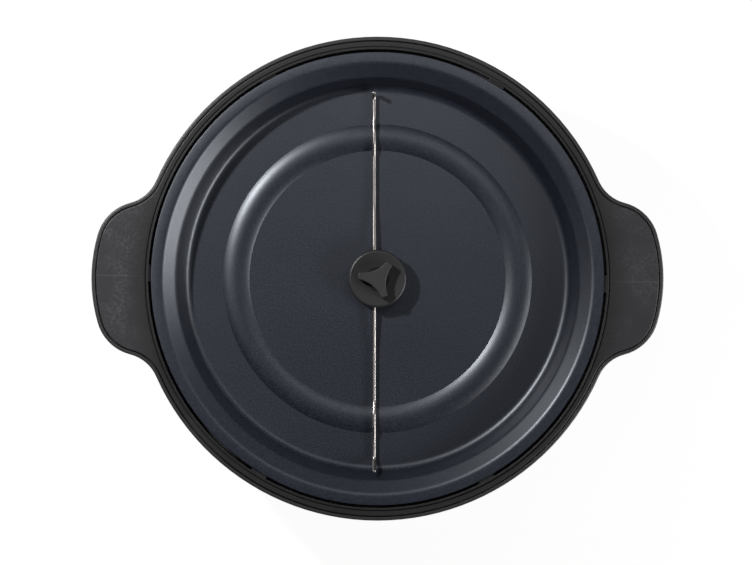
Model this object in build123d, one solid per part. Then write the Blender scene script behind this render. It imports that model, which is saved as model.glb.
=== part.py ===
from build123d import *
import math
import os

# Base of an electric stirring popcorn popper with its cover off.  Millimetres, +Z up.
# The origin is the middle of the footprint on the resting plane.  Z is the stirrer's axis
# and X runs through both handles.  Each function below makes one piece.

# ---- outline from above: a round rim with an ear-shaped handle on each side ----
body_r = 143.5             # round rim of the housing
ear_out = 26.1             # how far a handle reaches beyond the rim
ear_bow_r = 94.5           # gentle bow of a handle's outer edge
ear_corner_r = 27.0        # convex corners of a handle
ear_corner_y = 18.8        # how far their centres lie from the X axis
ear_root_r = 23.0          # concave sweep from the rim into a handle

# ---- heights of the shell ----
rim_z = 91.2               # flat top of the rim and handles
lip_rise = 0.8             # inner lip above the flat top
housing_low_z = 6.0        # lower edge of the skirt
band_h = 16.0              # upright band of the housing, and depth of the ears

# ---- lower housing ----
wall_t = 2.8               # moulded wall
bead_w = 2.1               # edge bead around the top rim
ledge_w = 2.4              # ledge under the top rim's edge
band_edge_r = 5.0          # rounded lower edge of the band
bead_round_r = 0.9         # rounded top of the bead
skirt_step = 6.5           # from the rim in to the top of the skirt
skirt_lean = 17.0          # how far the skirt draws in on its way down
skirt_bulge = 2.0          # outward bow of the skirt at mid height

# ---- top rim ----
parting_gap = 0.5          # open joint between bead and top rim
rim_t = 3.0                # plate thickness
rim_edge_r = 0.7           # rounded outer edge
rim_ring_w = 7.5           # from the housing's edge in to the opening for the pan
lip_w = 1.2                # inner lip
groove_w = 0.6             # fine groove outside the lip
groove_depth = 0.6
barrier_t = 2.4            # wall that hangs down around the hot pan
barrier_h = 10.0           # its height under the plate
lug_count = 6
lug_w = 10.0               # width of a seating lug
lug_first_deg = -1.4       # angle of the first lug
lug_seat_in = 4.8          # how far a lug's seat reaches in from the opening
pan_side_gap = 0.25        # between a lug and the pan's edge
lug_drop = 0.4             # top of a lug under the pan's flange
web_t = 2.0                # webs under the handle tops
web_half = 40.0
web_lift = 1.0             # webs and their clearance over the ear's floor
rim_boss_r = 4.0           # screw bosses under the handle tops

# ---- pan ----
flange_z = 91.0            # top of the pan's flange
pan_edge_gap = 1.6         # from the rim's opening in to the edge of the flange
pan_t = 1.8                # sheet thickness
pan_depth = 21.5           # flange down to floor
kink_run = 5.7             # foot of the wall out to where it leans further
kink_h = 15.0              # height of that kink over the floor
wall_run = 8.2             # from there out to the top of the wall
flange_w = 6.1             # flange, from the top of the wall to its edge
ridge_in = 29.9            # from the foot of the wall in to the raised ring's middle
ridge_half_w = 7.9
ridge_h = 1.95
flange_bend_r = 7.4        # rounded bend from wall to flange
floor_bend_r = 4.6
kink_bend_r = 10.0
edge_top_r = 0.6           # rounded edge of the flange, upper and lower corner
edge_low_r = 0.5
stud_root = 0.5            # how deep a stud's root reaches into the sheet

# ---- columns from the pan down to the base plate ----
column_in = 32.5           # from the raised ring in to the three columns
column_count = 3
column_first_deg = 90.0
stud_r = 2.0
column_flats = 8.0         # across the flats of the hexagon columns
touch_gap = 0.05           # all round a screw or stud in its hole
run_gap = 0.05             # all round a turning shaft in its bore

# ---- heater under the raised ring ----
tube_r = 3.6
tube_gap = 0.1             # tube to pan
heater_mid_deg = 30.0      # middle of the gap between the tube's ends
heater_gap_deg = 24.0
heater_bend_r = 9.0
heater_leg_z = 49.0        # lower end of the tube's legs
terminal_r = 1.5
terminal_len = 7.0
clamp_w = 10.0
clamp_t = 1.2
clamp_degs = (90.0, 210.0, 330.0)
clamp_stud_r = 1.5
clamp_stud_out = 13.0      # clamp stud from the middle of the tube
clamp_stud_len = 6.0

# ---- heat shield ----
shield_z = 55.0
shield_t = 0.8
shield_over = 20.5         # edge of the shield beyond the raised ring
shield_rise = 8.0          # upturned edge

# ---- motor bracket and motor ----
bracket_z = 41.0
bracket_t = 1.2
bracket_arm_w = 16.0
bracket_disc_r = 38.0
motor_r = 24.5
motor_can_t = 0.8
motor_cover_t = 1.0
motor_h = 19.0             # can, without its cover
motor_ear_x = 30.0         # mounting ears either side of the axis
motor_hole_r = 2.1
rotor_r = 12.5
rotor_in_r = 9.0
rotor_h = 8.0
air_gap = 0.4
pole_t = 0.8
bobbin_t = 0.9
coil_gap = 0.4
pin_r = 0.75

# ---- gear train: three equal steps from rotor to output shaft ----
gear_module = 0.6
wheel_teeth = 28
pinion_teeth = 10
gear_face = 1.8            # thickness of a wheel
gear_layer = 2.4           # height of one layer, wheel and gap
gear_hub_r = 1.8
tooth_share = 0.42         # tooth thickness as a share of the pitch
second_gear_deg = 60.0     # direction of the second gear from the axis
gear_plate_t = 1.0         # plate that carries the gears' pins
gear_plate_gap = 0.4

# ---- shafts, bush and stirrer ----
output_r = 3.5
output_top_z = 54.0
coupling_r = 7.0
coupling_low_z = 45.0
coupling_top_z = 60.4
drive_r = 4.0
drive_flat = 1.0           # depth of the flats on both shafts
thread_r = 3.0
hub_seat_z = 79.0          # shoulder of the shaft that the hub rests on
thread_end_gap = 0.4       # end of the thread under the closed top of the thumb nut
bush_r = 6.5
bush_flange_r = 10.0
bush_flange_t = 1.2
bush_low_z = 62.2
bush_nut_h = 3.6
bush_nut_flats = 17.0
washer_t = 0.6
clip_t = 0.8
clip_r = 6.6

hub_r = 17.3
hub_h = 9.3
hub_over_bush = 0.5        # running gap under the hub
hub_round_r = 1.6
wire_r = 1.25
wire_floor_gap = 1.0       # wire to pan floor, and to the raised ring
wire_x = -2.0              # the wire runs a little to one side of the axis
wire_exit_up = 1.8         # wire at the hub, above its run over the floor
wire_rear_gap = 3.8        # upright end, inside the foot of the wall
wire_front_over = 0.8      # tip of the leaning end, beyond the foot of the wall
wire_front_gap = 5.9       # where that end starts to rise
wire_tip_up = 12.5         # tips above the pan floor
nut_washer_r = 7.0
nut_washer_t = 0.7
nut_h = 6.2
nut_tip_r = 11.6
nut_tip_w = 4.2
nut_waist_r = 5.3
nut_first_deg = 51.0
insert_r = 4.3
insert_h = 5.4             # engaged thread

# ---- heat control ----
thermostat_y = -44.0
thermostat_r = 8.5
thermostat_h = 5.0
thermostat_cap_r = 7.0
thermostat_cap_h = 4.0
strap_half = 13.5          # strap studs either side of the thermostat
strap_stud_len = 9.5
fuse_stud_len = 7.5
fuse_stud_gap = 4.0        # fuse to its stud
earth_stud_len = 8.0
earth_turn_deg = 40.0      # earth stud, from the rear column
fuse_x = 26.0
fuse_y = -34.0
fuse_r = 2.0
fuse_len = 12.0
fuse_leg = 6.0             # from the fuse's end to where its lead turns down

# ---- base plate, feet, cord entry ----
plate_t = 2.5
plate_top_z = 10.5
plate_gap = 0.4
boss_r = 4.5
boss_h = 22.0
boss_in = 12.0             # from the skirt's lower edge in to a screw boss
boss_rib_half = 1.2
boss_count = 6
boss_first_deg = 0.0
foot_in = 28.0             # from the skirt's lower edge in to a foot
foot_count = 4
foot_first_deg = 45.0
foot_low_r = 10.0
foot_top_r = 11.0
foot_plug_r = 4.0
foot_barb_r = 5.4
foot_barb_rise = 1.2       # upright part of the barb
foot_plug_rise = 5.0       # plug above the base plate
foot_edge = 0.8            # slanted lower edge and pointed top
screw_r = 1.75
screw_head_r = 3.6
screw_head_h = 2.2
screw_len = 14.0
rim_screw_in = 17.6        # from a handle's outer edge in to its screws
rim_screw_y = 14.0
rim_screw_len = 9.0
rim_screw_sink = 0.9       # recess for a screw's head under a handle
head_gap = 0.4             # round a screw's head in its recess
column_screw_len = 10.0
vent_len = 24.0            # slots in the base plate, two rings of them
vent_w = 3.0
vent_inner_r = 30.0
vent_outer_r = 76.0
vent_count = 24
vent_first_deg = 7.5
vent_foot_deg = 9.0        # plain sector at each foot
vent_block_deg = 20.0      # plain sector at the terminal block
gland_z = 24.0
gland_in = 6.0             # from the top of the skirt in to the face of the cord's pad
gland_pad_r = 13.0
gland_pad_t = 4.0
gland_pad_wall = 2.0
gland_edge_r = 1.2
gland_r = 6.5
gland_bore_r = 3.8
gland_flange_r = 9.5
gland_flange_t = 3.0
gland_nut_flats = 17.0
gland_nut_t = 4.0
gland_tail = 9.0           # gland beyond the inside of the pad
block_in = 30.0            # from the skirt's lower edge in to the terminal block
block_size = (40.0, 18.0, 14.0)
pole_pitch = 12.0
lead_r = 1.2

# ---- worked out from the sizes above ----
ear_reach = body_r + ear_out
skirt_top_r = body_r - skirt_step
skirt_low_r = skirt_top_r - skirt_lean
rim_inner_r = body_r - rim_ring_w
flange_r = rim_inner_r - pan_edge_gap
wall_top_r = flange_r - flange_w
kink_r = wall_top_r - wall_run
floor_r = kink_r - kink_run
ridge_mid_r = floor_r - ridge_in
column_r = ridge_mid_r - column_in
shield_r = ridge_mid_r + shield_over
wire_rear_y = floor_r - wire_rear_gap
wire_front_y = floor_r + wire_front_over
boss_place_r = skirt_low_r - boss_in
foot_place_r = skirt_low_r - foot_in
block_y = skirt_low_r - block_in
gland_face_y = skirt_top_r - gland_in
rim_screw_x = ear_reach - rim_screw_in
band_low_z = rim_z - band_h
rim_low_z = rim_z - rim_t
lip_z = rim_z + lip_rise
rim_inset = bead_w + parting_gap
ear_floor_z = band_low_z + wall_t
floor_z = flange_z - pan_depth
under_z = floor_z - pan_t
flange_low_z = flange_z - pan_t
plate_low_z = plate_top_z - plate_t
ridge_curve_r = (ridge_half_w**2 + ridge_h**2) / (2 * ridge_h)
tube_z = under_z + ridge_h - tube_gap - tube_r
motor_top_z = bracket_z
motor_cover_z = motor_top_z - motor_cover_t
motor_low_z = motor_cover_z - motor_h
shaft_spacing = gear_module * (wheel_teeth + pinion_teeth) / 2
gear_low_z = motor_cover_z - 3 * gear_layer
gear_plate_z = gear_low_z - gear_plate_gap - gear_plate_t
rotor_low_z = motor_low_z + motor_can_t + 0.8
bush_top_z = floor_z + bush_flange_t
hub_low_z = bush_top_z + hub_over_bush
hub_top_z = hub_low_z + hub_h
nut_low_z = hub_top_z + nut_washer_t
thread_top_z = nut_low_z + insert_h - thread_end_gap
wire_z = floor_z + wire_floor_gap + wire_r
wire_hub_z = wire_z + wire_exit_up
gear_a = (shaft_spacing, 0.0)
gear_b = (shaft_spacing * math.cos(math.radians(second_gear_deg)),
          shaft_spacing * math.sin(math.radians(second_gear_deg)))


# ---- small helpers ----
def cyl(radius, low_z, high_z, x=0.0, y=0.0):
    """Upright cylinder between two heights."""
    base = (Align.CENTER, Align.CENTER, Align.MIN)
    return Pos(x, y, low_z) * Cylinder(radius, high_z - low_z, align=base)


def ring(outer_r, inner_r, low_z, high_z, x=0.0, y=0.0):
    """Upright ring between two heights."""
    over = 1.0
    bore = cyl(inner_r, low_z - over, high_z + over, x, y)
    return cyl(outer_r, low_z, high_z, x, y) - bore


def slab(x_low, x_high, y_low, y_high, z_low, z_high):
    """Box between two corners."""
    base = (Align.MIN, Align.MIN, Align.MIN)
    size = (x_high - x_low, y_high - y_low, z_high - z_low)
    return Pos(x_low, y_low, z_low) * Box(*size, align=base)


def hexagon(flats, low_z, high_z, x=0.0, y=0.0):
    """Upright hexagon bar, sized across its flats."""
    side_r = flats / math.sqrt(3)
    face = RegularPolygon(side_r, 6)
    return Pos(x, y, low_z) * extrude(face, high_z - low_z)


def polar(radius, angle_deg):
    """Point at a distance and direction from the axis."""
    angle = math.radians(angle_deg)
    return (radius * math.cos(angle), radius * math.sin(angle))


def turned(shape, angle_deg):
    """The shape turned about the Z axis."""
    return Rot(0, 0, angle_deg) * shape


def even(count, first_deg):
    """Evenly spaced directions round the axis."""
    return [first_deg + 360.0 / count * step for step in range(count)]


def revolved(points):
    """Solid of revolution from a closed outline of (radius, height) points."""
    line = Polyline(*[(radius, 0, height) for radius, height in points], close=True)
    return revolve(make_face(line), Axis.Z)


def group(solids):
    """Several separate solids kept as one node."""
    return Compound(list(solids))


def screw(x, y, head_low_z, shank_top_z, head_r=screw_head_r, head_h=screw_head_h):
    """Pan-head screw that points up, with a cross recess in its head."""
    head = cyl(head_r, head_low_z, head_low_z + head_h, x, y)
    lower_edge = head.edges().sort_by(Axis.Z)[0]
    head = fillet(lower_edge, head_h * 0.4)
    shank = cyl(screw_r, head_low_z + head_h, shank_top_z, x, y)
    slot_half = head_r * 0.55
    slot_w = head_r * 0.1
    depth = head_h * 0.5
    low = head_low_z - 1
    high = head_low_z + depth
    cross = slab(x - slot_half, x + slot_half, y - slot_w, y + slot_w, low, high)
    cross += slab(x - slot_w, x + slot_w, y - slot_half, y + slot_half, low, high)
    return head + shank - cross


# ---- outline shared by housing and rim ----
ear_bow_x = ear_reach - ear_bow_r
ear_corner_x = ear_bow_x + math.sqrt((ear_bow_r - ear_corner_r)**2 - ear_corner_y**2)


def root_centre():
    """Centre of the concave arc: tangent to the rim and to the ear's corner."""
    to_axis = body_r + ear_root_r
    to_corner = ear_corner_r + ear_root_r
    span = math.hypot(ear_corner_x, ear_corner_y)
    along = (to_axis**2 - to_corner**2 + span**2) / (2 * span)
    aside = math.sqrt(to_axis**2 - along**2)
    unit_x = ear_corner_x / span
    unit_y = ear_corner_y / span
    return (along * unit_x - aside * unit_y, along * unit_y + aside * unit_x)


def centre_arc(centre, radius, start, end, flip_x=1, flip_y=1):
    """Arc between two angles in degrees, mirrored by the two signs."""
    points = []
    for angle_deg in (start, (start + end) / 2, end):
        dx, dy = polar(radius, angle_deg)
        points.append((flip_x * (centre[0] + dx), flip_y * (centre[1] + dy)))
    return ThreePointArc(*points)


def outline(inset):
    """The outline of rim and ears as a face, moved inwards by the inset."""
    root_x, root_y = root_centre()
    bow_deg = math.degrees(math.atan2(ear_corner_y, ear_corner_x - ear_bow_x))
    root_deg = math.degrees(math.atan2(root_y - ear_corner_y, root_x - ear_corner_x))
    body_deg = math.degrees(math.atan2(root_y, root_x))
    corner = (ear_corner_x, ear_corner_y)
    edges = []
    for side in (1, -1):
        bow = centre_arc((ear_bow_x, 0), ear_bow_r - inset, -bow_deg, bow_deg, side)
        edges.append(bow)
        body = centre_arc((0, 0), body_r - inset, body_deg, 180 - body_deg, 1, side)
        edges.append(body)
        for end in (1, -1):
            edges.append(centre_arc(corner, ear_corner_r - inset, bow_deg, root_deg, side, end))
            edges.append(centre_arc((root_x, root_y), ear_root_r + inset,
                                    root_deg + 180, body_deg + 180, side, end))
    return make_face(edges)


def prism(inset, low_z, high_z):
    """Upright solid on the outline."""
    return Pos(0, 0, low_z) * extrude(outline(inset), high_z - low_z)


# ---- shell ----
def skirt_r(height):
    """Outer radius of the skirt at a height, for pieces that meet it."""
    share = (height - housing_low_z) / (band_low_z - housing_low_z)
    bow = 4 * skirt_bulge * share * (1 - share)
    return skirt_low_r + (skirt_top_r - skirt_low_r) * share + bow


def skirt_solid(inset, high_z):
    """Solid inside the skirt's wall, up to a height."""
    mid_z = (housing_low_z + band_low_z) / 2
    low = (skirt_low_r - inset, 0, housing_low_z)
    mid = (skirt_r(mid_z) - inset, 0, mid_z)
    top = (skirt_top_r - inset, 0, band_low_z)
    side = ThreePointArc(low, mid, top)
    rest = Polyline(top, (skirt_top_r - inset, 0, high_z), (0, 0, high_z),
                    (0, 0, housing_low_z), low)
    return revolve(make_face([side] + list(rest.edges())), Axis.Z)


def gland_cylinder(radius, y_low, y_high):
    """Cylinder along Y at the cord entry."""
    base = (Align.CENTER, Align.CENTER, Align.MAX)
    return Pos(0, y_low, gland_z) * Rot(90, 0, 0) * Cylinder(radius, y_high - y_low, align=base)


def lower_housing():
    """Moulded shell: skirt, band with both ears, bead, ledge, bosses and cord pad."""
    band = prism(0, band_low_z, rim_z)
    low_edges = band.edges().group_by(Axis.Z)[0]
    band = fillet(low_edges, band_edge_r)
    top_edges = band.edges().group_by(Axis.Z)[-1]
    band = fillet(top_edges, bead_round_r)
    outside = skirt_solid(0, band_low_z + wall_t) + band
    pad_in_y = gland_face_y - gland_pad_t - gland_tail
    outside += gland_cylinder(gland_pad_r, pad_in_y, gland_face_y)

    inside = skirt_solid(wall_t, ear_floor_z)
    inside -= gland_cylinder(gland_pad_r, pad_in_y, gland_face_y)
    inside += prism(rim_inset + ledge_w, ear_floor_z, rim_low_z)
    inside += prism(bead_w, rim_low_z, rim_z + 1)
    shell = outside - inside
    shell -= gland_cylinder(gland_pad_r - gland_pad_wall, pad_in_y - 1, gland_face_y - gland_pad_t)
    shell -= gland_cylinder(gland_r + touch_gap, pad_in_y, gland_face_y + 1)

    top_z = plate_top_z + boss_h
    full = skirt_solid(wall_t / 2, ear_floor_z)
    post = cyl(boss_r, plate_top_z, top_z, boss_place_r)
    rib = slab(boss_place_r, body_r, -boss_rib_half, boss_rib_half, plate_top_z, top_z)
    hole = cyl(screw_r + touch_gap, plate_top_z - 1, plate_top_z + screw_len + 1, boss_place_r)
    boss = ((post + rib) & full) - hole
    for angle_deg in even(boss_count, boss_first_deg):
        shell += turned(boss, angle_deg)

    for x in (-rim_screw_x, rim_screw_x):
        for y in (-rim_screw_y, rim_screw_y):
            shell -= cyl(screw_r + touch_gap, band_low_z - 1, ear_floor_z + 1, x, y)
            shell -= cyl(screw_head_r + head_gap, band_low_z - 1, band_low_z + rim_screw_sink, x, y)
    return shell


def top_rim():
    """Moulded ring with flat handle tops, inner lip, heat barrier and six lugs."""
    plate = prism(rim_inset, rim_low_z, rim_z)
    plate = fillet(plate.edges().group_by(Axis.Z)[-1], rim_edge_r)
    lip_r = rim_inner_r + lip_w
    plate += cyl(lip_r, rim_low_z, lip_z)
    plate -= ring(lip_r + groove_w, lip_r, rim_z - groove_depth, lip_z + 1)
    barrier_low_z = rim_low_z - barrier_h
    plate += cyl(rim_inner_r + barrier_t, barrier_low_z, rim_low_z)

    web_low_z = ear_floor_z + web_lift
    ear_solid = prism(rim_inset + ledge_w + web_lift, web_low_z, rim_low_z)
    for x in (-rim_screw_x, rim_screw_x):
        for y in (-rim_screw_y, 0, rim_screw_y):
            web = slab(x - web_half, x + web_half, y - web_t / 2, y + web_t / 2, web_low_z, rim_low_z)
            plate += web & ear_solid
        for y in (-rim_screw_y, rim_screw_y):
            plate += cyl(rim_boss_r, ear_floor_z, rim_low_z, x, y)
            plate -= cyl(screw_r + touch_gap, ear_floor_z - 1, rim_low_z + 0.6, x, y)
    plate -= cyl(rim_inner_r, barrier_low_z - 1, lip_z + 1)

    root_r = rim_inner_r + barrier_t / 2
    stop = ring(root_r, flange_r + pan_side_gap, barrier_low_z, flange_z - lug_drop)
    seat = ring(root_r, rim_inner_r - lug_seat_in, barrier_low_z, flange_low_z)
    wedge = slab(0, root_r, -lug_w / 2, lug_w / 2, barrier_low_z, lip_z)
    lug = (stop + seat) & wedge
    for angle_deg in even(lug_count, lug_first_deg):
        plate += turned(lug, angle_deg)
    return plate


# ---- pan ----
def mitred(points, distance):
    """Open line of (radius, height) points moved to its right-hand side."""
    moved = []
    for index, point in enumerate(points):
        here = Vector(*point)
        before = Vector(*points[index - 1]) if index else None
        after = Vector(*points[index + 1]) if index + 1 < len(points) else None
        steps = []
        if before is not None:
            steps.append((here - before).normalized())
        if after is not None:
            steps.append((after - here).normalized())
        rights = [Vector(step.Y, -step.X) for step in steps]
        blend = sum(rights[1:], rights[0]).normalized()
        moved.append(here + blend * (distance / blend.dot(rights[0])))
    return [(point.X, point.Y) for point in moved]


def pan_skin(depth):
    """One face of the pan's sheet as points and ridge arc, at a depth below the top face."""
    hole_r = bush_r + touch_gap
    corners = [(hole_r, floor_z), (floor_r, floor_z), (kink_r, floor_z + kink_h),
               (wall_top_r, flange_z), (flange_r, flange_z)]
    points = mitred(corners, depth)
    curve_r = ridge_curve_r - depth
    base_z = floor_z - depth
    half = math.sqrt(curve_r**2 - (curve_r - ridge_h)**2)
    ridge = [(ridge_mid_r - half, base_z), (ridge_mid_r, base_z + ridge_h),
             (ridge_mid_r + half, base_z)]
    return points, ridge


def heating_pan():
    """Pressed pan with its studs, in one piece."""
    faces = []
    edges = []
    for depth in (0.0, pan_t):
        points, ridge = pan_skin(depth)
        faces.append(points)
        edges.append(Line(points[0], ridge[0]))
        edges.append(ThreePointArc(*ridge))
        edges.append(Line(ridge[2], points[1]))
        for start, end in zip(points[1:-1], points[2:]):
            edges.append(Line(start, end))
    top, low = faces
    edges.append(Line(top[0], low[0]))
    edges.append(Line(top[-1], low[-1]))
    section = make_face(edges)
    bends = [(top[1], floor_bend_r), (low[1], floor_bend_r + pan_t),
             (top[2], kink_bend_r), (low[2], kink_bend_r + pan_t),
             (top[3], flange_bend_r + pan_t), (low[3], flange_bend_r),
             (top[4], edge_top_r), (low[4], edge_low_r)]
    for place, radius in bends:
        corner = section.vertices().sort_by_distance((place[0], place[1], 0))[0]
        section = fillet(corner, radius)
    pan = revolve(Plane.XZ * section, Axis.Z)
    root_z = under_z + stud_root
    for angle_deg in even(column_count, column_first_deg):
        pan += cyl(stud_r, lower_stud_z(), root_z, *polar(column_r, angle_deg))
    for angle_deg in clamp_degs:
        for shift in (-clamp_stud_out, clamp_stud_out):
            place = polar(ridge_mid_r + shift, angle_deg)
            pan += cyl(clamp_stud_r, under_z - clamp_stud_len, root_z, *place)
    for x in (-strap_half, strap_half):
        pan += cyl(clamp_stud_r, under_z - strap_stud_len, root_z, x, thermostat_y)
    pan += cyl(clamp_stud_r, under_z - fuse_stud_len, root_z, *fuse_stud())
    pan += cyl(stud_r, under_z - earth_stud_len, root_z, *earth_place())
    return pan


def lower_stud_z():
    """Lower end of the pan's column studs, inside the upper columns."""
    return bracket_z + bracket_t + 5.5


def earth_place():
    """Earth stud, between the columns at the back."""
    return polar(column_r, column_first_deg + earth_turn_deg)


def fuse_stud():
    """Stud beside the thermal fuse."""
    return (fuse_x + fuse_len / 2, fuse_y + fuse_r + fuse_stud_gap)


def pan_bush():
    """Flanged bush in the middle of the pan."""
    bush = cyl(bush_r, bush_low_z, floor_z + 0.2) + cyl(bush_flange_r, floor_z, bush_top_z)
    bush = fillet(bush.edges().group_by(Axis.Z)[-1], 0.5)
    return bush - cyl(drive_r + run_gap, bush_low_z - 1, bush_top_z + 1)


def bush_washer():
    return ring(bush_flange_r, bush_r + touch_gap, under_z - washer_t, under_z)


def bush_nut():
    top_z = under_z - washer_t
    nut = hexagon(bush_nut_flats, top_z - bush_nut_h, top_z)
    return nut - cyl(bush_r + touch_gap, top_z - bush_nut_h - 1, top_z + 1)


# ---- drive ----
def flatted(radius, low_z, high_z, gap=0.0):
    """Round bar with two flats, or the hole for one when a gap is given."""
    half = radius - drive_flat + gap
    bar = cyl(radius + gap, low_z, high_z)
    return bar & slab(-half, half, -2 * radius, 2 * radius, low_z, high_z)


def drive_shaft():
    """Steel shaft: flats below, round in the bush, flats for the hub, thread on top."""
    lower_top_z = coupling_top_z - 2.0
    shaft = flatted(drive_r, output_top_z + 0.4, lower_top_z)
    shaft += cyl(drive_r, lower_top_z, hub_low_z + 0.6)
    shaft += flatted(drive_r, hub_low_z + 0.6, hub_seat_z)
    thread = cyl(thread_r, hub_seat_z, thread_top_z)
    thread = chamfer(thread.edges().group_by(Axis.Z)[-1], 0.5)
    clip_seat = ring(drive_r + 1, drive_r - 0.6, clip_low_z(), clip_low_z() + clip_t)
    return shaft + thread - clip_seat


def clip_low_z():
    """Lower face of the retaining clip, just under the bush."""
    return bush_low_z - 0.3 - clip_t


def shaft_clip():
    """Open retaining clip in its groove."""
    low = clip_low_z()
    clip = ring(clip_r, drive_r - 0.6, low, low + clip_t)
    mouth = slab(0, clip_r + 1, -2.2, 2.2, low - 1, low + clip_t + 1)
    return clip - mouth


def shaft_coupling():
    """Sleeve that carries the turn from the motor's shaft to the drive shaft."""
    sleeve = cyl(coupling_r, coupling_low_z, coupling_top_z)
    sleeve = chamfer(sleeve.edges().group_by(Axis.Z)[0], 0.8)
    sleeve -= flatted(output_r, coupling_low_z - 1, output_top_z + 0.2, touch_gap)
    sleeve -= flatted(drive_r, output_top_z + 0.2, coupling_top_z - 2.0, touch_gap)
    return sleeve - cyl(drive_r + touch_gap, coupling_top_z - 2.0, coupling_top_z + 1)


# ---- stirrer ----
def wire_path():
    """Centre line of the wire: round the shaft in the hub, over the raised ring, ends up."""
    pass_x = wire_x - 4.3
    ridge_up = ridge_h
    ridge_in_y = ridge_mid_r - ridge_half_w
    ridge_out_y = ridge_mid_r + ridge_half_w
    tip_z = floor_z + wire_tip_up
    run = [(wire_hub_z - wire_z, hub_r + 2.0), (0.0, hub_r + 26.0),
           (0.0, ridge_in_y - 3.0), (ridge_up, ridge_in_y + 4.0),
           (ridge_up, ridge_out_y - 4.0), (0.0, ridge_out_y + 3.0)]
    front = [(wire_x, -along, wire_z + up) for up, along in run]
    front.append((wire_x, wire_front_gap - floor_r, wire_z))
    front.append((wire_x, -wire_front_y, tip_z))
    rear = [(wire_x, along, wire_z + up) for up, along in run]
    rear.append((wire_x, wire_rear_y, wire_z))
    rear.append((wire_x, wire_rear_y, tip_z))
    bend = [(wire_x, -9.5, wire_hub_z), (pass_x, -4.5, wire_hub_z),
            (pass_x, 4.5, wire_hub_z), (wire_x, 9.5, wire_hub_z)]
    return front[::-1] + bend + rear


def swept_rod(points, radius, bend_radii):
    """Round rod along straight runs joined by tangent arcs."""
    path = FilletPolyline(*points, radius=bend_radii)
    start = path @ 0
    section = Plane(origin=start, z_dir=path % 0) * Circle(radius)
    return sweep(section, path=path)


def wire_bends():
    """Bend radii of the wire, one for each corner between its ends."""
    floor_bends = [30.0, 30.0, 8.0, 8.0, 8.0, 8.0]
    return [5.0] + floor_bends[::-1] + [3.0, 3.0, 3.0, 3.0] + floor_bends + [3.6]


def stirrer_wire():
    rod = swept_rod(wire_path(), wire_r, wire_bends())
    circles = rod.edges().filter_by(GeomType.CIRCLE)
    front_tip = circles.sort_by_distance(wire_path()[0])[0]
    rear_tip = circles.sort_by_distance(wire_path()[-1])[0]
    return fillet([front_tip, rear_tip], wire_r * 0.6)


def stirrer_hub():
    """Round moulded hub on the shaft, with the wire's channel through it."""
    hub = cyl(hub_r, hub_low_z, hub_top_z)
    hub = fillet(hub.edges().group_by(Axis.Z)[-1], hub_round_r)
    hub = fillet(hub.edges().group_by(Axis.Z)[0], 0.5)
    hub -= flatted(drive_r, hub_low_z - 1, hub_seat_z, run_gap)
    hub -= cyl(drive_r + run_gap, hub_low_z - 1, hub_low_z + 0.8)
    hub -= cyl(thread_r + run_gap, hub_seat_z - 1, hub_top_z + 1)
    channel = swept_rod(wire_path(), wire_r + touch_gap, wire_bends())
    return hub - channel


def nut_washer():
    return ring(nut_washer_r, thread_r + run_gap, hub_top_z, hub_top_z + nut_washer_t)


def thumb_nut():
    """Three-armed grip with hollow-curved sides, round a threaded insert."""
    edges = []
    half = nut_tip_w / 2
    for step in range(3):
        arm = nut_first_deg + 120.0 * step
        half_deg = math.degrees(math.asin(half / nut_tip_r))
        right = polar(nut_tip_r, arm - half_deg)
        tip = polar(nut_tip_r + 0.25, arm)
        left = polar(nut_tip_r, arm + half_deg)
        waist = polar(nut_waist_r, arm + 60.0)
        after = polar(nut_tip_r, arm + 120.0 - half_deg)
        edges.append(ThreePointArc(right, tip, left))
        edges.append(ThreePointArc(left, waist, after))
    grip = Pos(0, 0, nut_low_z) * extrude(make_face(edges), nut_h)
    uprights = grip.edges().filter_by(Axis.Z)
    grip = fillet(uprights, 0.8)
    grip = fillet(grip.edges().group_by(Axis.Z)[-1], 0.6)
    grip -= cyl(insert_r, nut_low_z - 1, nut_low_z + insert_h)
    return grip


def thumb_nut_insert():
    """Threaded brass insert with a knurled-in groove."""
    insert = ring(insert_r, thread_r + run_gap, nut_low_z, nut_low_z + insert_h)
    return insert


# ---- heater ----
def heater_ends():
    """Angles of the two ends of the heater ring, in travelling order."""
    start = heater_mid_deg + heater_gap_deg / 2
    return start, heater_mid_deg + 360.0 - heater_gap_deg / 2


def heater_leg(angle_deg, side):
    """Foot of a bent-down end: its x, y under the ring."""
    x, y = polar(ridge_mid_r, angle_deg)
    along_x, along_y = polar(heater_bend_r, angle_deg + 90.0)
    return (x + side * along_x, y + side * along_y)


def heater_tube():
    """Sheathed tube bent to a ring, both ends turned down."""
    start, end = heater_ends()
    bend_z = tube_z - heater_bend_r
    part = (end - start) / 3

    def bend(angle_deg, side):
        """Quarter turn between ring and leg."""
        x, y = polar(ridge_mid_r, angle_deg)
        share = math.sqrt(0.5)
        along_x, along_y = polar(heater_bend_r * share, angle_deg + 90.0)
        foot = heater_leg(angle_deg, side)
        middle = (x + side * along_x, y + side * along_y, bend_z + heater_bend_r * share)
        return (foot[0], foot[1], bend_z), middle, (x, y, tube_z)

    first_foot, first_mid, first_top = bend(start, -1)
    last_foot, last_mid, last_top = bend(end, 1)
    leg_start = (first_foot[0], first_foot[1], heater_leg_z)
    leg_end = (last_foot[0], last_foot[1], heater_leg_z)
    edges = [Line(leg_start, first_foot), ThreePointArc(first_foot, first_mid, first_top)]
    for step in range(3):
        points = []
        for share in (0.0, 0.5, 1.0):
            x, y = polar(ridge_mid_r, start + part * (step + share))
            points.append((x, y, tube_z))
        edges.append(ThreePointArc(*points))
    edges.append(ThreePointArc(last_top, last_mid, last_foot))
    edges.append(Line(last_foot, leg_end))
    section = Plane(origin=leg_start, z_dir=(0, 0, 1)) * Circle(tube_r)
    return sweep(section, path=Wire(edges))


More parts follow.
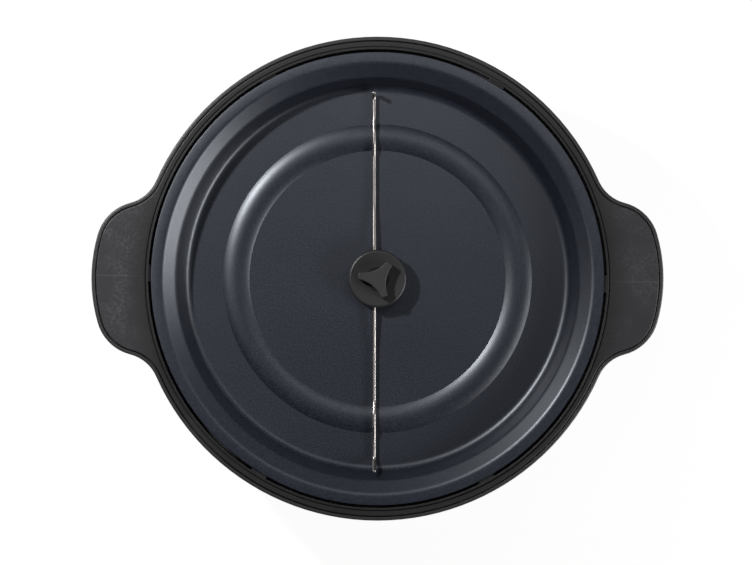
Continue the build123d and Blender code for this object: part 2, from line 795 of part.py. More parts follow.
def heater_terminals():
    """Terminal pins that stand out of the tube's ends."""
    start, end = heater_ends()
    pins = []
    for place in (heater_leg(start, -1), heater_leg(end, 1)):
        pins.append(cyl(terminal_r, heater_leg_z - terminal_len, heater_leg_z, *place))
    return group(pins)


def heater_clamps():
    """Hat-shaped straps that press the tube to the pan."""
    low = tube_z - tube_r - clamp_t
    flange_low = under_z - clamp_t
    inner = tube_r + 0.6
    outer = inner + clamp_t
    reach = clamp_stud_out + 4.0
    outline_points = [(-reach, under_z), (-reach, flange_low), (-outer, flange_low), (-outer, low),
                      (outer, low), (outer, flange_low), (reach, flange_low), (reach, under_z),
                      (inner + 4.4, under_z), (inner + 4.4, flange_low + 0.2),
                      (inner, flange_low + 0.2), (inner, low + clamp_t),
                      (-inner, low + clamp_t), (-inner, flange_low + 0.2),
                      (-inner - 4.4, flange_low + 0.2), (-inner - 4.4, under_z)]
    line = Polyline(*[(ridge_mid_r + out, -clamp_w / 2, z) for out, z in outline_points], close=True)
    strap = extrude(make_face(line), clamp_w, dir=(0, 1, 0))
    for shift in (-clamp_stud_out, clamp_stud_out):
        strap -= cyl(clamp_stud_r + touch_gap, low, under_z + 1, ridge_mid_r + shift)
    return group(turned(strap, angle_deg) for angle_deg in clamp_degs)


def small_nut(x, y, top_z):
    """M3 nut under a strap."""
    nut = hexagon(5.5, top_z - 2.4, top_z, x, y)
    return nut - cyl(clamp_stud_r + touch_gap, top_z - 4, top_z + 1, x, y)


def clamp_nuts():
    nuts = []
    for angle_deg in clamp_degs:
        for shift in (-clamp_stud_out, clamp_stud_out):
            nuts.append(turned(small_nut(ridge_mid_r + shift, 0, under_z - clamp_t), angle_deg))
    return group(nuts)


def heat_shield():
    """Dished bright sheet under the heater, with an upturned edge."""
    top = shield_z + shield_t
    edge_z = shield_z + shield_rise
    dish = cyl(shield_r, shield_z, top) + ring(shield_r, shield_r - shield_t, shield_z, edge_z)
    dish = fillet(dish.edges().filter_by(GeomType.CIRCLE).group_by(Axis.Z)[0], shield_t * 0.9)
    cuts = [cyl(coupling_r + 4.0, shield_z - 1, top + 1)]
    for angle_deg in even(column_count, column_first_deg):
        cuts.append(cyl(stud_r + touch_gap, shield_z - 1, top + 1, *polar(column_r, angle_deg)))
    start, end = heater_ends()
    for place in (heater_leg(start, -1), heater_leg(end, 1)):
        cuts.append(cyl(tube_r + 1.4, shield_z - 1, top + 1, *place))
    cuts.append(cyl(thermostat_r, shield_z - 1, top + 1, 0, thermostat_y))
    for x in fuse_leg_xs():
        cuts.append(cyl(lead_r + 1.3, shield_z - 1, top + 1, x, fuse_y))
    earth_x, earth_y = earth_place()
    cuts.append(cyl(3.0, shield_z - 1, top + 1, earth_x, earth_y + 11.5))
    for cut in cuts:
        dish -= cut
    return dish


# ---- columns ----
def shield_spacers():
    spacers = []
    for angle_deg in even(column_count, column_first_deg):
        x, y = polar(column_r, angle_deg)
        spacers.append(ring(4.0, stud_r + touch_gap, shield_z + shield_t, under_z, x, y))
    return group(spacers)


def upper_columns():
    low = bracket_z + bracket_t
    columns = []
    for angle_deg in even(column_count, column_first_deg):
        x, y = polar(column_r, angle_deg)
        bar = hexagon(column_flats, low, shield_z, x, y)
        columns.append(bar - cyl(stud_r + touch_gap, low - 1, shield_z + 1, x, y))
    return group(columns)


def lower_columns():
    columns = []
    for angle_deg in even(column_count, column_first_deg):
        x, y = polar(column_r, angle_deg)
        bar = hexagon(column_flats, plate_top_z, bracket_z, x, y)
        bar += cyl(stud_r, bracket_z - 1, bracket_z + bracket_t + 5.0, x, y)
        columns.append(bar - cyl(screw_r + touch_gap, plate_top_z - 1, plate_top_z + 11, x, y))
    return group(columns)


def motor_bracket():
    """Steel plate with three arms, held between upper and lower columns."""
    top = bracket_z + bracket_t
    plate = cyl(bracket_disc_r, bracket_z, top)
    half = bracket_arm_w / 2
    for angle_deg in even(column_count, column_first_deg):
        arm = slab(0, column_r, -half, half, bracket_z, top) + cyl(half, bracket_z, top, column_r)
        plate += turned(arm, angle_deg)
    for angle_deg in even(column_count, column_first_deg):
        plate -= cyl(stud_r + touch_gap, bracket_z - 1, top + 1, *polar(column_r, angle_deg))
    for x in (-motor_ear_x, motor_ear_x):
        plate -= cyl(motor_hole_r, bracket_z - 1, top + 1, x, 0)
    plate -= cyl(output_r + 1.5, bracket_z - 1, top + 1)
    return plate


# ---- motor ----
def motor_can():
    """Drawn steel cup with a slot for the coil's lead tab."""
    can = cyl(motor_r, motor_low_z, motor_cover_z)
    can = fillet(can.edges().group_by(Axis.Z)[0], 1.0)
    can -= cyl(motor_r - motor_can_t, motor_low_z + motor_can_t, motor_cover_z + 1)
    can -= cyl(pin_r + touch_gap, motor_low_z - 1, motor_low_z + 2)
    slot_low, slot_high = tab_heights()
    can -= slab(-6.1, 6.1, 0, motor_r + 2, slot_low - 0.1, slot_high + 0.1)
    return can


def tab_heights():
    """Lead tab of the bobbin, low and high."""
    return rotor_low_z + 2.0, rotor_low_z + 7.0


def motor_cover():
    """Lid of the motor with two mounting ears and the output shaft's hole."""
    lid = cyl(motor_r, motor_cover_z, motor_top_z)
    ear = cyl(5.0, motor_cover_z, motor_top_z, motor_ear_x)
    ear += slab(0, motor_ear_x, -5, 5, motor_cover_z, motor_top_z)
    for angle_deg in (0, 180):
        lid += turned(ear, angle_deg)
    for x in (-motor_ear_x, motor_ear_x):
        lid -= cyl(motor_hole_r, motor_cover_z - 1, motor_top_z + 1, x, 0)
    lid -= cyl(output_r + run_gap, motor_cover_z - 1, motor_top_z + 1)
    for x, y in (gear_a, gear_b):
        lid -= cyl(pin_r + touch_gap, motor_cover_z - 1, motor_top_z + 1, x, y)
    return lid


def stator_poles():
    """Ring of pole fingers between rotor and coil."""
    inner = rotor_r + air_gap
    low = motor_low_z + motor_can_t
    poles = ring(inner + pole_t, inner, low, gear_plate_z)
    for angle_deg in even(12, 0):
        gap = slab(inner - 1, inner + 3, -0.8, 0.8, low + 1.2, gear_plate_z - 1.2)
        poles -= turned(gap, angle_deg)
    return poles


def bobbin_radii():
    """Inner and outer radius of the coil's bobbin."""
    return rotor_r + air_gap + pole_t + touch_gap, motor_r - motor_can_t - coil_gap


def coil_bobbin():
    """Moulded spool of the coil with its lead tab."""
    inner, outer = bobbin_radii()
    low = motor_low_z + motor_can_t
    spool = ring(outer, inner, low, gear_plate_z)
    spool -= ring(outer + 1, inner + bobbin_t, low + bobbin_t, gear_plate_z - bobbin_t)
    tab_low, tab_high = tab_heights()
    tab = slab(-6, 6, inner + bobbin_t - 0.2, motor_r + 3.0, tab_low, tab_high)
    return spool + tab


def motor_winding():
    """Wound coil, as one closed body between the spool's walls."""
    inner, outer = bobbin_radii()
    low = motor_low_z + motor_can_t + bobbin_t
    coil = ring(outer - 0.6, inner + bobbin_t, low, gear_plate_z - bobbin_t)
    tab_low, tab_high = tab_heights()
    return coil - slab(-6, 6, inner, motor_r, tab_low, tab_high)


def rotor_magnet():
    return ring(rotor_r, rotor_in_r, rotor_low_z, rotor_low_z + rotor_h)


def rotor_pinion():
    """Moulded rotor core with its pinion on top."""
    core = cyl(rotor_in_r, rotor_low_z, rotor_low_z + rotor_h)
    core += cyl(gear_hub_r, rotor_low_z + rotor_h, gear_low_z)
    core += gear(pinion_teeth, gear_low_z, gear_face, (0, 0), 0.0)
    return core - cyl(pin_r + run_gap, rotor_low_z - 1, gear_low_z + gear_face + 1)


def rotor_pin():
    top = motor_cover_z - gear_layer + gear_face - 0.4
    return cyl(pin_r, motor_low_z, top)


def gear_plate():
    """Steel plate between rotor and gears."""
    top = gear_plate_z + gear_plate_t
    plate = cyl(motor_r - motor_can_t - touch_gap, gear_plate_z, top)
    plate -= cyl(gear_hub_r + 0.6, gear_plate_z - 1, top + 1)
    for x, y in (gear_a, gear_b):
        plate -= cyl(pin_r + touch_gap, gear_plate_z - 1, top + 1, x, y)
    return plate


def involute_point(base_r, angle):
    """Point of an involute that starts on the X axis."""
    x = base_r * (math.cos(angle) + angle * math.sin(angle))
    y = base_r * (math.sin(angle) - angle * math.cos(angle))
    return x, y


def gear(teeth, low_z, face, centre, tooth_deg):
    """Spur gear with involute flanks and one tooth pointing at the given angle."""
    pitch_r = gear_module * teeth / 2
    base_r = pitch_r * math.cos(math.radians(20.0))
    tip_r = pitch_r + 0.8 * gear_module
    root_r = pitch_r - 1.1 * gear_module
    pitch_angle = math.sqrt((pitch_r / base_r)**2 - 1)
    pitch_x, pitch_y = involute_point(base_r, pitch_angle)
    half_tooth = math.pi / teeth * tooth_share + math.atan2(pitch_y, pitch_x)
    tip_angle = math.sqrt((tip_r / base_r)**2 - 1)
    low_angle = math.sqrt(max((root_r / base_r)**2 - 1, 0.0))
    flank = []
    for step in range(5):
        x, y = involute_point(base_r, low_angle + (tip_angle - low_angle) * step / 4)
        flank.append((math.hypot(x, y), half_tooth - math.atan2(y, x)))
    if flank[0][0] > root_r:
        flank.insert(0, (root_r, flank[0][1]))
    points = []
    for tooth in range(teeth):
        middle = math.radians(tooth_deg) + 2 * math.pi * tooth / teeth
        for radius, half in flank:
            points.append((radius * math.cos(middle - half), radius * math.sin(middle - half)))
        for radius, half in flank[::-1]:
            points.append((radius * math.cos(middle + half), radius * math.sin(middle + half)))
    solid = extrude(make_face(Polyline(*points, close=True)), face)
    return Pos(centre[0], centre[1], low_z) * solid


def facing_gap(angle_deg, teeth):
    """Tooth angle that leaves a gap between teeth in the given direction."""
    return angle_deg + 180.0 / teeth


def direction(start, end):
    """Angle from one axis to another."""
    return math.degrees(math.atan2(end[1] - start[1], end[0] - start[0]))


def first_gear():
    """Wheel driven by the rotor, with the pinion for the second gear."""
    towards_axis = direction(gear_a, (0, 0))
    towards_b = direction(gear_a, gear_b)
    second_z = gear_low_z + gear_layer
    body = gear(wheel_teeth, gear_low_z, gear_face, gear_a, facing_gap(towards_axis, wheel_teeth))
    body += gear(pinion_teeth, gear_low_z + gear_face - 0.1, gear_layer + 0.1, gear_a, towards_b)
    body += cyl(gear_hub_r, second_z + gear_face - 0.2, motor_cover_z - 0.2, *gear_a)
    return body - cyl(pin_r + run_gap, gear_low_z - 1, motor_top_z, *gear_a)


def second_gear():
    """Wheel driven by the first gear, with the pinion for the output wheel."""
    towards_a = direction(gear_b, gear_a)
    towards_axis = direction(gear_b, (0, 0))
    second_z = gear_low_z + gear_layer
    body = gear(wheel_teeth, second_z, gear_face, gear_b, facing_gap(towards_a, wheel_teeth))
    body += gear(pinion_teeth, second_z + gear_face - 0.1, gear_layer + 0.1, gear_b, towards_axis)
    body += cyl(gear_hub_r, gear_low_z - 0.2, second_z + 0.1, *gear_b)
    return body - cyl(pin_r + run_gap, gear_low_z - 1, motor_top_z, *gear_b)


def gear_pins():
    pins = [cyl(pin_r, gear_plate_z, motor_top_z, *place) for place in (gear_a, gear_b)]
    return group(pins)


def output_gear():
    """Last wheel, in one piece with the motor's output shaft."""
    third_z = gear_low_z + 2 * gear_layer
    towards_b = direction((0, 0), gear_b)
    body = gear(wheel_teeth, third_z, gear_face, (0, 0), facing_gap(towards_b, wheel_teeth))
    body += cyl(output_r, third_z, coupling_low_z - 0.5)
    body += flatted(output_r, coupling_low_z - 0.6, output_top_z)
    return body - cyl(pin_r + run_gap, third_z - 1, rotor_pin_top() + 0.4)


def rotor_pin_top():
    """Upper end of the rotor's pin, inside the output wheel."""
    return motor_cover_z - gear_layer + gear_face - 0.4


def motor_screws():
    """Screws up through the motor's ears into nuts on the bracket."""
    top = bracket_z + bracket_t + 3.6
    low = motor_cover_z - screw_head_h
    return group(screw(x, 0, low, top) for x in (-motor_ear_x, motor_ear_x))


def motor_nuts():
    low = bracket_z + bracket_t
    nuts = []
    for x in (-motor_ear_x, motor_ear_x):
        nut = hexagon(6.5, low, low + 2.6, x, 0)
        nuts.append(nut - cyl(screw_r + touch_gap, low - 1, low + 4, x, 0))
    return group(nuts)


# ---- heat control ----
def thermostat():
    """Round thermostat against the pan, with two upright terminals."""
    shoulder_z = under_z - thermostat_h
    cap_z = shoulder_z - thermostat_cap_h
    body = cyl(thermostat_r, shoulder_z, under_z, 0, thermostat_y)
    body += cyl(thermostat_cap_r, cap_z, shoulder_z, 0, thermostat_y)
    for x in thermostat_tab_xs():
        y = thermostat_y
        body += slab(x - 0.4, x + 0.4, y - 3.1, y + 3.1, thermostat_tab_z(), cap_z + 0.5)
    return body


def thermostat_tab_xs():
    """Places of its two terminals."""
    return (-4.5, 4.5)


def thermostat_tab_z():
    """Lower end of its terminals."""
    return under_z - thermostat_h - thermostat_cap_h - 8.0


def thermostat_strap():
    """Strap that presses the thermostat to the pan."""
    top = under_z - thermostat_h
    reach = strap_half + 4.0
    half = thermostat_cap_r + 1.6
    strap = slab(-reach, reach, thermostat_y - half, thermostat_y + half, top - 1.0, top)
    strap -= cyl(thermostat_cap_r + touch_gap, top - 2, top + 1, 0, thermostat_y)
    for x in (-strap_half, strap_half):
        strap -= cyl(clamp_stud_r + touch_gap, top - 2, top + 1, x, thermostat_y)
    return strap


def strap_nuts():
    top = under_z - thermostat_h - 1.0
    nuts = [small_nut(x, thermostat_y, top) for x in (-strap_half, strap_half)]
    fuse_nut_x, fuse_nut_y = fuse_stud()
    nuts.append(small_nut(fuse_nut_x, fuse_nut_y, under_z - 2 * fuse_r - 0.8))
    ex, ey = earth_place()
    earth_top = under_z - 1.0
    nut = hexagon(7.0, earth_top - 3.2, earth_top, ex, ey)
    nuts.append(nut - cyl(stud_r + touch_gap, earth_top - 5, earth_top + 1, ex, ey))
    return group(nuts)


def fuse_leg_xs():
    """Where the fuse's two leads turn down."""
    return (fuse_x - fuse_leg, fuse_x + fuse_len + fuse_leg)


def thermal_fuse():
    """One-shot cut-out that lies against the pan."""
    z = under_z - fuse_r
    base = (Align.CENTER, Align.CENTER, Align.MIN)
    body = Pos(fuse_x, fuse_y, z) * Rot(0, 90, 0) * Cylinder(fuse_r, fuse_len, align=base)
    return fillet(body.edges().filter_by(GeomType.CIRCLE), 0.5)


def fuse_clip():
    """Strip that wraps the fuse and is held by its stud."""
    x = fuse_x + fuse_len / 2
    low = under_z - 2 * fuse_r - 0.8
    y_far = fuse_y + fuse_r + 8.0
    strip = slab(x - 3.5, x + 3.5, fuse_y - fuse_r - 0.8, y_far, low, low + 0.8)
    strip += slab(x - 3.5, x + 3.5, fuse_y - fuse_r - 0.8, fuse_y - fuse_r, low, under_z - fuse_r)
    strip += slab(x - 3.5, x + 3.5, y_far - 0.8, y_far, low, under_z)
    stud_x, stud_y = fuse_stud()
    return strip - cyl(clamp_stud_r + touch_gap, low - 1, under_z, stud_x, stud_y)


# ---- terminal block, earth and leads ----
def pole_xs():
    """Middle of each pole of the terminal block."""
    return [pole_pitch * step for step in (-1, 0, 1)]


def terminal_block():
    """Moulded block with three poles, two screws each."""
    size_x, size_y, size_z = block_size
    top = plate_top_z + size_z
    y_low = block_y - size_y / 2
    y_high = block_y + size_y / 2
    block = slab(-size_x / 2, size_x / 2, y_low, y_high, plate_top_z, top)
    block = chamfer(block.edges().group_by(Axis.Z)[-1], 0.8)
    for x in pole_xs():
        for y in (block_y - 5.0, block_y + 5.0):
            block -= cyl(2.8, top - 3.0, top + 1, x, y)
    for x in (-pole_pitch / 2, pole_pitch / 2):
        block -= cyl(2.0 + touch_gap, plate_top_z - 1, top + 1, x, block_y)
        block -= cyl(3.7, top - 2.4, top + 1, x, block_y)
    return block


def terminal_screws():
    top = plate_top_z + block_size[2]
    screws = []
    for x in pole_xs():
        for y in (block_y - 5.0, block_y + 5.0):
            head = cyl(2.75, top - 3.0, top - 1.6, x, y)
            slot = slab(x - 3, x + 3, y - 0.35, y + 0.35, top - 2.2, top)
            screws.append(head - slot)
    return group(screws)


def block_screws():
    """Two screws down through the block into the base plate."""
    top = plate_top_z + block_size[2]
    screws = []
    for x in (-pole_pitch / 2, pole_pitch / 2):
        head = cyl(3.5, top - 2.4, top - 0.6, x, block_y)
        slot = slab(x - 4, x + 4, block_y - 0.4, block_y + 0.4, top - 1.4, top)
        shank = cyl(screw_r, plate_low_z + 0.4, top - 2.4, x, block_y)
        screws.append(head - slot + shank)
    return group(screws)


def earth_tag():
    """Ring tag on the pan's earth stud, under its nut's washer face."""
    x, y = earth_place()
    tag = ring(4.0, stud_r + touch_gap, under_z - 1.0, under_z, x, y)
    tag += slab(x - 1.5, x + 1.5, y + 3.0, y + 12.0, under_z - 1.0, under_z)
    tag += slab(x - 1.5, x + 1.5, y + 11.0, y + 12.0, earth_tail_z(), under_z)
    return tag


def earth_tail_z():
    """Lower end of the earth tag's tail."""
    return shield_z - 4.0


def inner_leads():
    """Insulated leads, each along its own route between two terminals."""
    front_y = block_y - block_size[1] / 2
    lead_z = plate_top_z + 5.0
    live_x, earth_x, neutral_x = pole_xs()
    start, end = heater_ends()
    near = heater_leg(start, -1)
    far = heater_leg(end, 1)
    pin_z = heater_leg_z - terminal_len
    tab_z = thermostat_tab_z()
    tab_left, tab_right = thermostat_tab_xs()
    fuse_z = under_z - fuse_r
    leg_left, leg_right = fuse_leg_xs()
    motor_tab_y = motor_r + 3.0
    motor_tab_z = sum(tab_heights()) / 2
    ex, ey = earth_place()
    routes = [
        # live pole to the outer end of the thermal fuse
        [(live_x - 2.5, front_y, lead_z), (live_x - 2.5, 66, lead_z), (-62, 40, 20), (-66, -20, 24),
         (-36, -66, 28), (16, -70, 34), (50, -54, 40), (leg_right, fuse_y, 44),
         (leg_right, fuse_y, fuse_z), (fuse_x + fuse_len, fuse_y, fuse_z)],
        # inner end of the fuse to the thermostat
        [(fuse_x, fuse_y, fuse_z), (leg_left, fuse_y, fuse_z), (leg_left, fuse_y, 44),
         (tab_right, thermostat_y, 40), (tab_right, thermostat_y, tab_z)],
        # thermostat to one end of the heater
        [(tab_left, thermostat_y, tab_z), (tab_left, thermostat_y, 38), (12, -62, 31),
         (58, -36, 30), (far[0], far[1], 31), (far[0], far[1], pin_z)],
        # other end of the heater to the neutral pole
        [(near[0], near[1], pin_z), (near[0], near[1], 33), (50, 66, 24),
         (neutral_x + 2.5, 70, lead_z), (neutral_x + 2.5, front_y, lead_z)],
        # live and neutral poles to the motor
        [(live_x + 2.5, front_y, lead_z), (live_x + 2.5, 62, lead_z), (-3, 38, motor_tab_z),
         (-3, motor_tab_y, motor_tab_z)],
        [(neutral_x - 2.5, front_y, lead_z), (neutral_x - 2.5, 62, lead_z), (3, 38, motor_tab_z),
         (3, motor_tab_y, motor_tab_z)],
        # earth pole to the pan's earth tag
        [(earth_x, front_y, lead_z), (earth_x, 72, lead_z), (-20, 62, 24), (ex, ey + 11.5, 34),
         (ex, ey + 11.5, earth_tail_z())],
    ]
    return group(lead(route) for route in routes)


def lead(route):
    """One insulated lead: its bends take what the shorter run beside them leaves."""
    radii = []
    for before, here, after in zip(route, route[1:], route[2:]):
        back = Vector(*here) - Vector(*before)
        ahead = Vector(*after) - Vector(*here)
        turn = math.radians(back.get_angle(ahead))
        reach = 0.45 * min(back.length, ahead.length)
        radii.append(reach / math.tan(turn / 2))
    print("lead bend radii", [round(radius, 1) for radius in radii])
    return swept_rod(route, lead_r, radii)


# ---- bottom ----
def base_plate():
    """Vented bottom cover with the feet's and screws' holes."""
    plate_r = skirt_low_r - wall_t - plate_gap
    plate = cyl(plate_r, plate_low_z, plate_top_z)
    low = plate_low_z - 1
    high = plate_top_z + 1
    for angle_deg in even(foot_count, foot_first_deg):
        plate -= cyl(foot_plug_r + touch_gap, low, high, *polar(foot_place_r, angle_deg))
    for angle_deg in even(boss_count, boss_first_deg):
        plate -= cyl(screw_r + touch_gap, low, high, *polar(boss_place_r, angle_deg))
    for angle_deg in even(column_count, column_first_deg):
        plate -= cyl(screw_r + touch_gap, low, high, *polar(column_r, angle_deg))
    for x in (-pole_pitch / 2, pole_pitch / 2):
        plate -= cyl(screw_r + touch_gap, low, high, x, block_y)
    slot = Pos(0, 0, low) * extrude(SlotOverall(vent_len, vent_w), plate_t + 2)
    for angle_deg in even(vent_count, vent_first_deg):
        plate -= turned(Pos(vent_inner_r, 0, 0) * slot, angle_deg)
        clear_of_feet = abs((angle_deg % 90) - 45) > vent_foot_deg
        if clear_of_feet and abs(angle_deg - 90) > vent_block_deg:
            plate -= turned(Pos(vent_outer_r, 0, 0) * slot, angle_deg)
    return plate


def base_screws():
    """Screws up through the base plate into the housing's bosses."""
    low = plate_low_z - screw_head_h
    top = plate_top_z + screw_len
    one = screw(boss_place_r, 0, low, top)
    return group(turned(one, angle_deg) for angle_deg in even(boss_count, boss_first_deg))


def column_screws():
    """Screws up through the base plate into the lower columns."""
    low = plate_low_z - screw_head_h
    one = screw(column_r, 0, low, plate_top_z + column_screw_len)
    return group(turned(one, angle_deg) for angle_deg in even(column_count, column_first_deg))


def rim_screws():
    """Screws up through the ears' floors into the top rim's bosses."""
    head_low_z = band_low_z + rim_screw_sink - screw_head_h
    screws = []
    for x in (-rim_screw_x, rim_screw_x):
        for y in (-rim_screw_y, rim_screw_y):
            screws.append(screw(x, y, head_low_z, ear_floor_z + rim_screw_len))
    return group(screws)


def rubber_feet():
    """Four feet, each pushed through the base plate and held by its barb."""
    plug_z = plate_top_z + foot_plug_rise
    foot = revolved([(0, 0), (foot_low_r - foot_edge, 0), (foot_low_r, foot_edge),
                     (foot_top_r, plate_low_z), (foot_plug_r, plate_low_z),
                     (foot_plug_r, plate_top_z), (foot_barb_r, plate_top_z),
                     (foot_barb_r, plate_top_z + foot_barb_rise),
                     (foot_plug_r - foot_edge, plug_z), (0, plug_z)])
    feet = []
    for angle_deg in even(foot_count, foot_first_deg):
        x, y = polar(foot_place_r, angle_deg)
        feet.append(Pos(x, y, 0) * foot)
    return group(feet)


def cord_gland():
    """Bushing for the mains cord, flange outside, thread inside."""
    in_y = gland_face_y - gland_pad_t - gland_tail + 1.0
    out_y = gland_face_y + gland_flange_t
    gland = gland_cylinder(gland_r, in_y, gland_face_y + 0.5)
    gland += gland_cylinder(gland_flange_r, gland_face_y, out_y)
    rim_edge = gland.edges().filter_by(GeomType.CIRCLE).group_by(Axis.Y)[-1]
    gland = fillet(rim_edge, gland_edge_r)
    return gland - gland_cylinder(gland_bore_r, in_y - 1, out_y + 1)


def gland_nut():
    """Hexagon nut inside the housing's wall."""
    side_r = gland_nut_flats / math.sqrt(3)
    y_high = gland_face_y - gland_pad_t
    face = Plane(origin=(0, y_high, gland_z), z_dir=(0, -1, 0)) * RegularPolygon(side_r, 6)
    nut = extrude(face, gland_nut_t)
    return nut - gland_cylinder(gland_r + touch_gap, y_high - gland_nut_t - 1, y_high + 1)


pieces = {
    "lower_housing": lower_housing,
    "top_rim": top_rim,
    "heating_pan": heating_pan,
    "pan_bush": pan_bush,
    "bush_washer": bush_washer,
    "bush_nut": bush_nut,
    "drive_shaft": drive_shaft,
    "shaft_clip": shaft_clip,
    "shaft_coupling": shaft_coupling,
    "stirrer_wire": stirrer_wire,
    "stirrer_hub": stirrer_hub,
    "nut_washer": nut_washer,
    "thumb_nut": thumb_nut,
    "thumb_nut_insert": thumb_nut_insert,
    "heater_tube": heater_tube,
    "heater_terminals": heater_terminals,
    "heater_clamps": heater_clamps,
    "clamp_nuts": clamp_nuts,
    "heat_shield": heat_shield,
    "shield_spacers": shield_spacers,
    "upper_columns": upper_columns,
    "lower_columns": lower_columns,
    "motor_bracket": motor_bracket,
    "motor_can": motor_can,
    "motor_cover": motor_cover,
    "stator_poles": stator_poles,
    "coil_bobbin": coil_bobbin,
    "motor_winding": motor_winding,
    "rotor_magnet": rotor_magnet,
    "rotor_pinion": rotor_pinion,
    "rotor_pin": rotor_pin,
    "gear_plate": gear_plate,
    "first_gear": first_gear,
    "second_gear": second_gear,
    "gear_pins": gear_pins,
    "output_gear": output_gear,
    "motor_screws": motor_screws,
    "motor_nuts": motor_nuts,
    "thermostat": thermostat,
    "thermostat_strap": thermostat_strap,
    "strap_nuts": strap_nuts,
    "thermal_fuse": thermal_fuse,
    "fuse_clip": fuse_clip,
    "terminal_block": terminal_block,
    "terminal_screws": terminal_screws,
    "block_screws": block_screws,
    "earth_tag": earth_tag,
    "inner_leads": inner_leads,
    "base_plate": base_plate,
    "base_screws": base_screws,
    "column_screws": column_screws,
    "rim_screws": rim_screws,
    "rubber_feet": rubber_feet,
    "cord_gland": cord_gland,
    "gland_nut": gland_nut,
}

os.makedirs("parts", exist_ok=True)
for name, make in pieces.items():
    export_step(make(), f"parts/{name}.step")
    print(name)
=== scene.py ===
import math

import bmesh
import bpy
import numpy as np
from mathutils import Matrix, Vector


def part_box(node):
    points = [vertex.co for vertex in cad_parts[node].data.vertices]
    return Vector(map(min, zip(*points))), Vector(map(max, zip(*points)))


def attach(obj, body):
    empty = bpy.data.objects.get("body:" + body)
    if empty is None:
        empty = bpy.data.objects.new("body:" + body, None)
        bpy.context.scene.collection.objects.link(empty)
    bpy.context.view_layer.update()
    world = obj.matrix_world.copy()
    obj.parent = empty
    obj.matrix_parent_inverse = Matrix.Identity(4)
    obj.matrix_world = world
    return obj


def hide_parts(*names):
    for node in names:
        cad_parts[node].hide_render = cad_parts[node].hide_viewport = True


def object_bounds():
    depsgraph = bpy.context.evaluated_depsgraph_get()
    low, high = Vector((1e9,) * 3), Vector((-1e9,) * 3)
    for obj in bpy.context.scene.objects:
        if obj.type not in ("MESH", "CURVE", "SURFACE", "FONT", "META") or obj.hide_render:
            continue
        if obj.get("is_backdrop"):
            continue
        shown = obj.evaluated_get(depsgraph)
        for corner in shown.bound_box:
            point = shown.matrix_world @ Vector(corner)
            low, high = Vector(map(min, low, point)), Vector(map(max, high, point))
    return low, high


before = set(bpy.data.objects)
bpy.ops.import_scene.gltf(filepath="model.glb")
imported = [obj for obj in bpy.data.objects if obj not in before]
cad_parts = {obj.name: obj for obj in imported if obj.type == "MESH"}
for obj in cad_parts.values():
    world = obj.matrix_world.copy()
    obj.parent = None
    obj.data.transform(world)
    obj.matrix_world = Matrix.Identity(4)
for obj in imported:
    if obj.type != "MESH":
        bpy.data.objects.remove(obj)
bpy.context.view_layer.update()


# ---- Studio -------------------------------------------------------------------------
# The popper stands on a pale sweep and is looked at from straight above.  A small key lamp
# stands at the upper left, a wide low one at the right and a weak soft panel at the upper
# right; a dim room, brighter at the back, gives the rest.

PHOTO_WIDTH = 752
RIM_PIXEL_M = 0.0005926            # one pixel at the height of the rim
RIM_TOP_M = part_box("lower_housing")[1][2]
CAMERA_RISE_M = 2.2
AXIS_RIGHT_PX = 1.46               # stirrer's axis from the middle of the picture
AXIS_UP_PX = 3.84
SENSOR_MM = 36.0

camera_data = bpy.data.cameras.new("overhead")
camera_data.sensor_width = SENSOR_MM
camera_data.lens = SENSOR_MM * CAMERA_RISE_M / (PHOTO_WIDTH * RIM_PIXEL_M)
camera = bpy.data.objects.new("overhead", camera_data)
camera.location = (-AXIS_RIGHT_PX * RIM_PIXEL_M, -AXIS_UP_PX * RIM_PIXEL_M, RIM_TOP_M + CAMERA_RISE_M)
bpy.context.scene.collection.objects.link(camera)
bpy.context.scene.camera = camera
bpy.context.scene.view_settings.view_transform = "Standard"


def node(tree, kind, inputs=None, **settings):
    """One shader node: settings are its properties, inputs are sockets or plain values."""
    made = tree.nodes.new(kind)
    for key, value in settings.items():
        setattr(made, key, value)
    for key, value in (inputs or {}).items():
        if isinstance(value, bpy.types.NodeSocket):
            tree.links.new(value, made.inputs[key])
        else:
            made.inputs[key].default_value = value
    return made


def maths(tree, operation, first, second=0.0):
    """Output of one Math node."""
    return node(tree, "ShaderNodeMath", {0: first, 1: second}, operation=operation).outputs[0]


def seen_directly(tree):
    """1 for rays from the camera or by way of a mirror or glass, otherwise 0."""
    path = node(tree, "ShaderNodeLightPath")
    first = maths(tree, "MAXIMUM", path.outputs["Is Camera Ray"], path.outputs["Is Glossy Ray"])
    return maths(tree, "MAXIMUM", first, path.outputs["Is Transmission Ray"])


WHITE = (1, 1, 1, 1)
ROOM_DARK = 0.02
ROOM_BRIGHT = 0.12
ROOM_BRIGHT_DEG = 70.0             # azimuth of the room's brighter side
ROOM_BRIGHT_LIFT = 0.35            # how far up that side reaches
ROOM_SPREAD = (-0.7, 0.9)          # from its dark end to its bright end, as a dot product
HORIZON = 0.12                     # height of the white backdrop, as the sine of an elevation

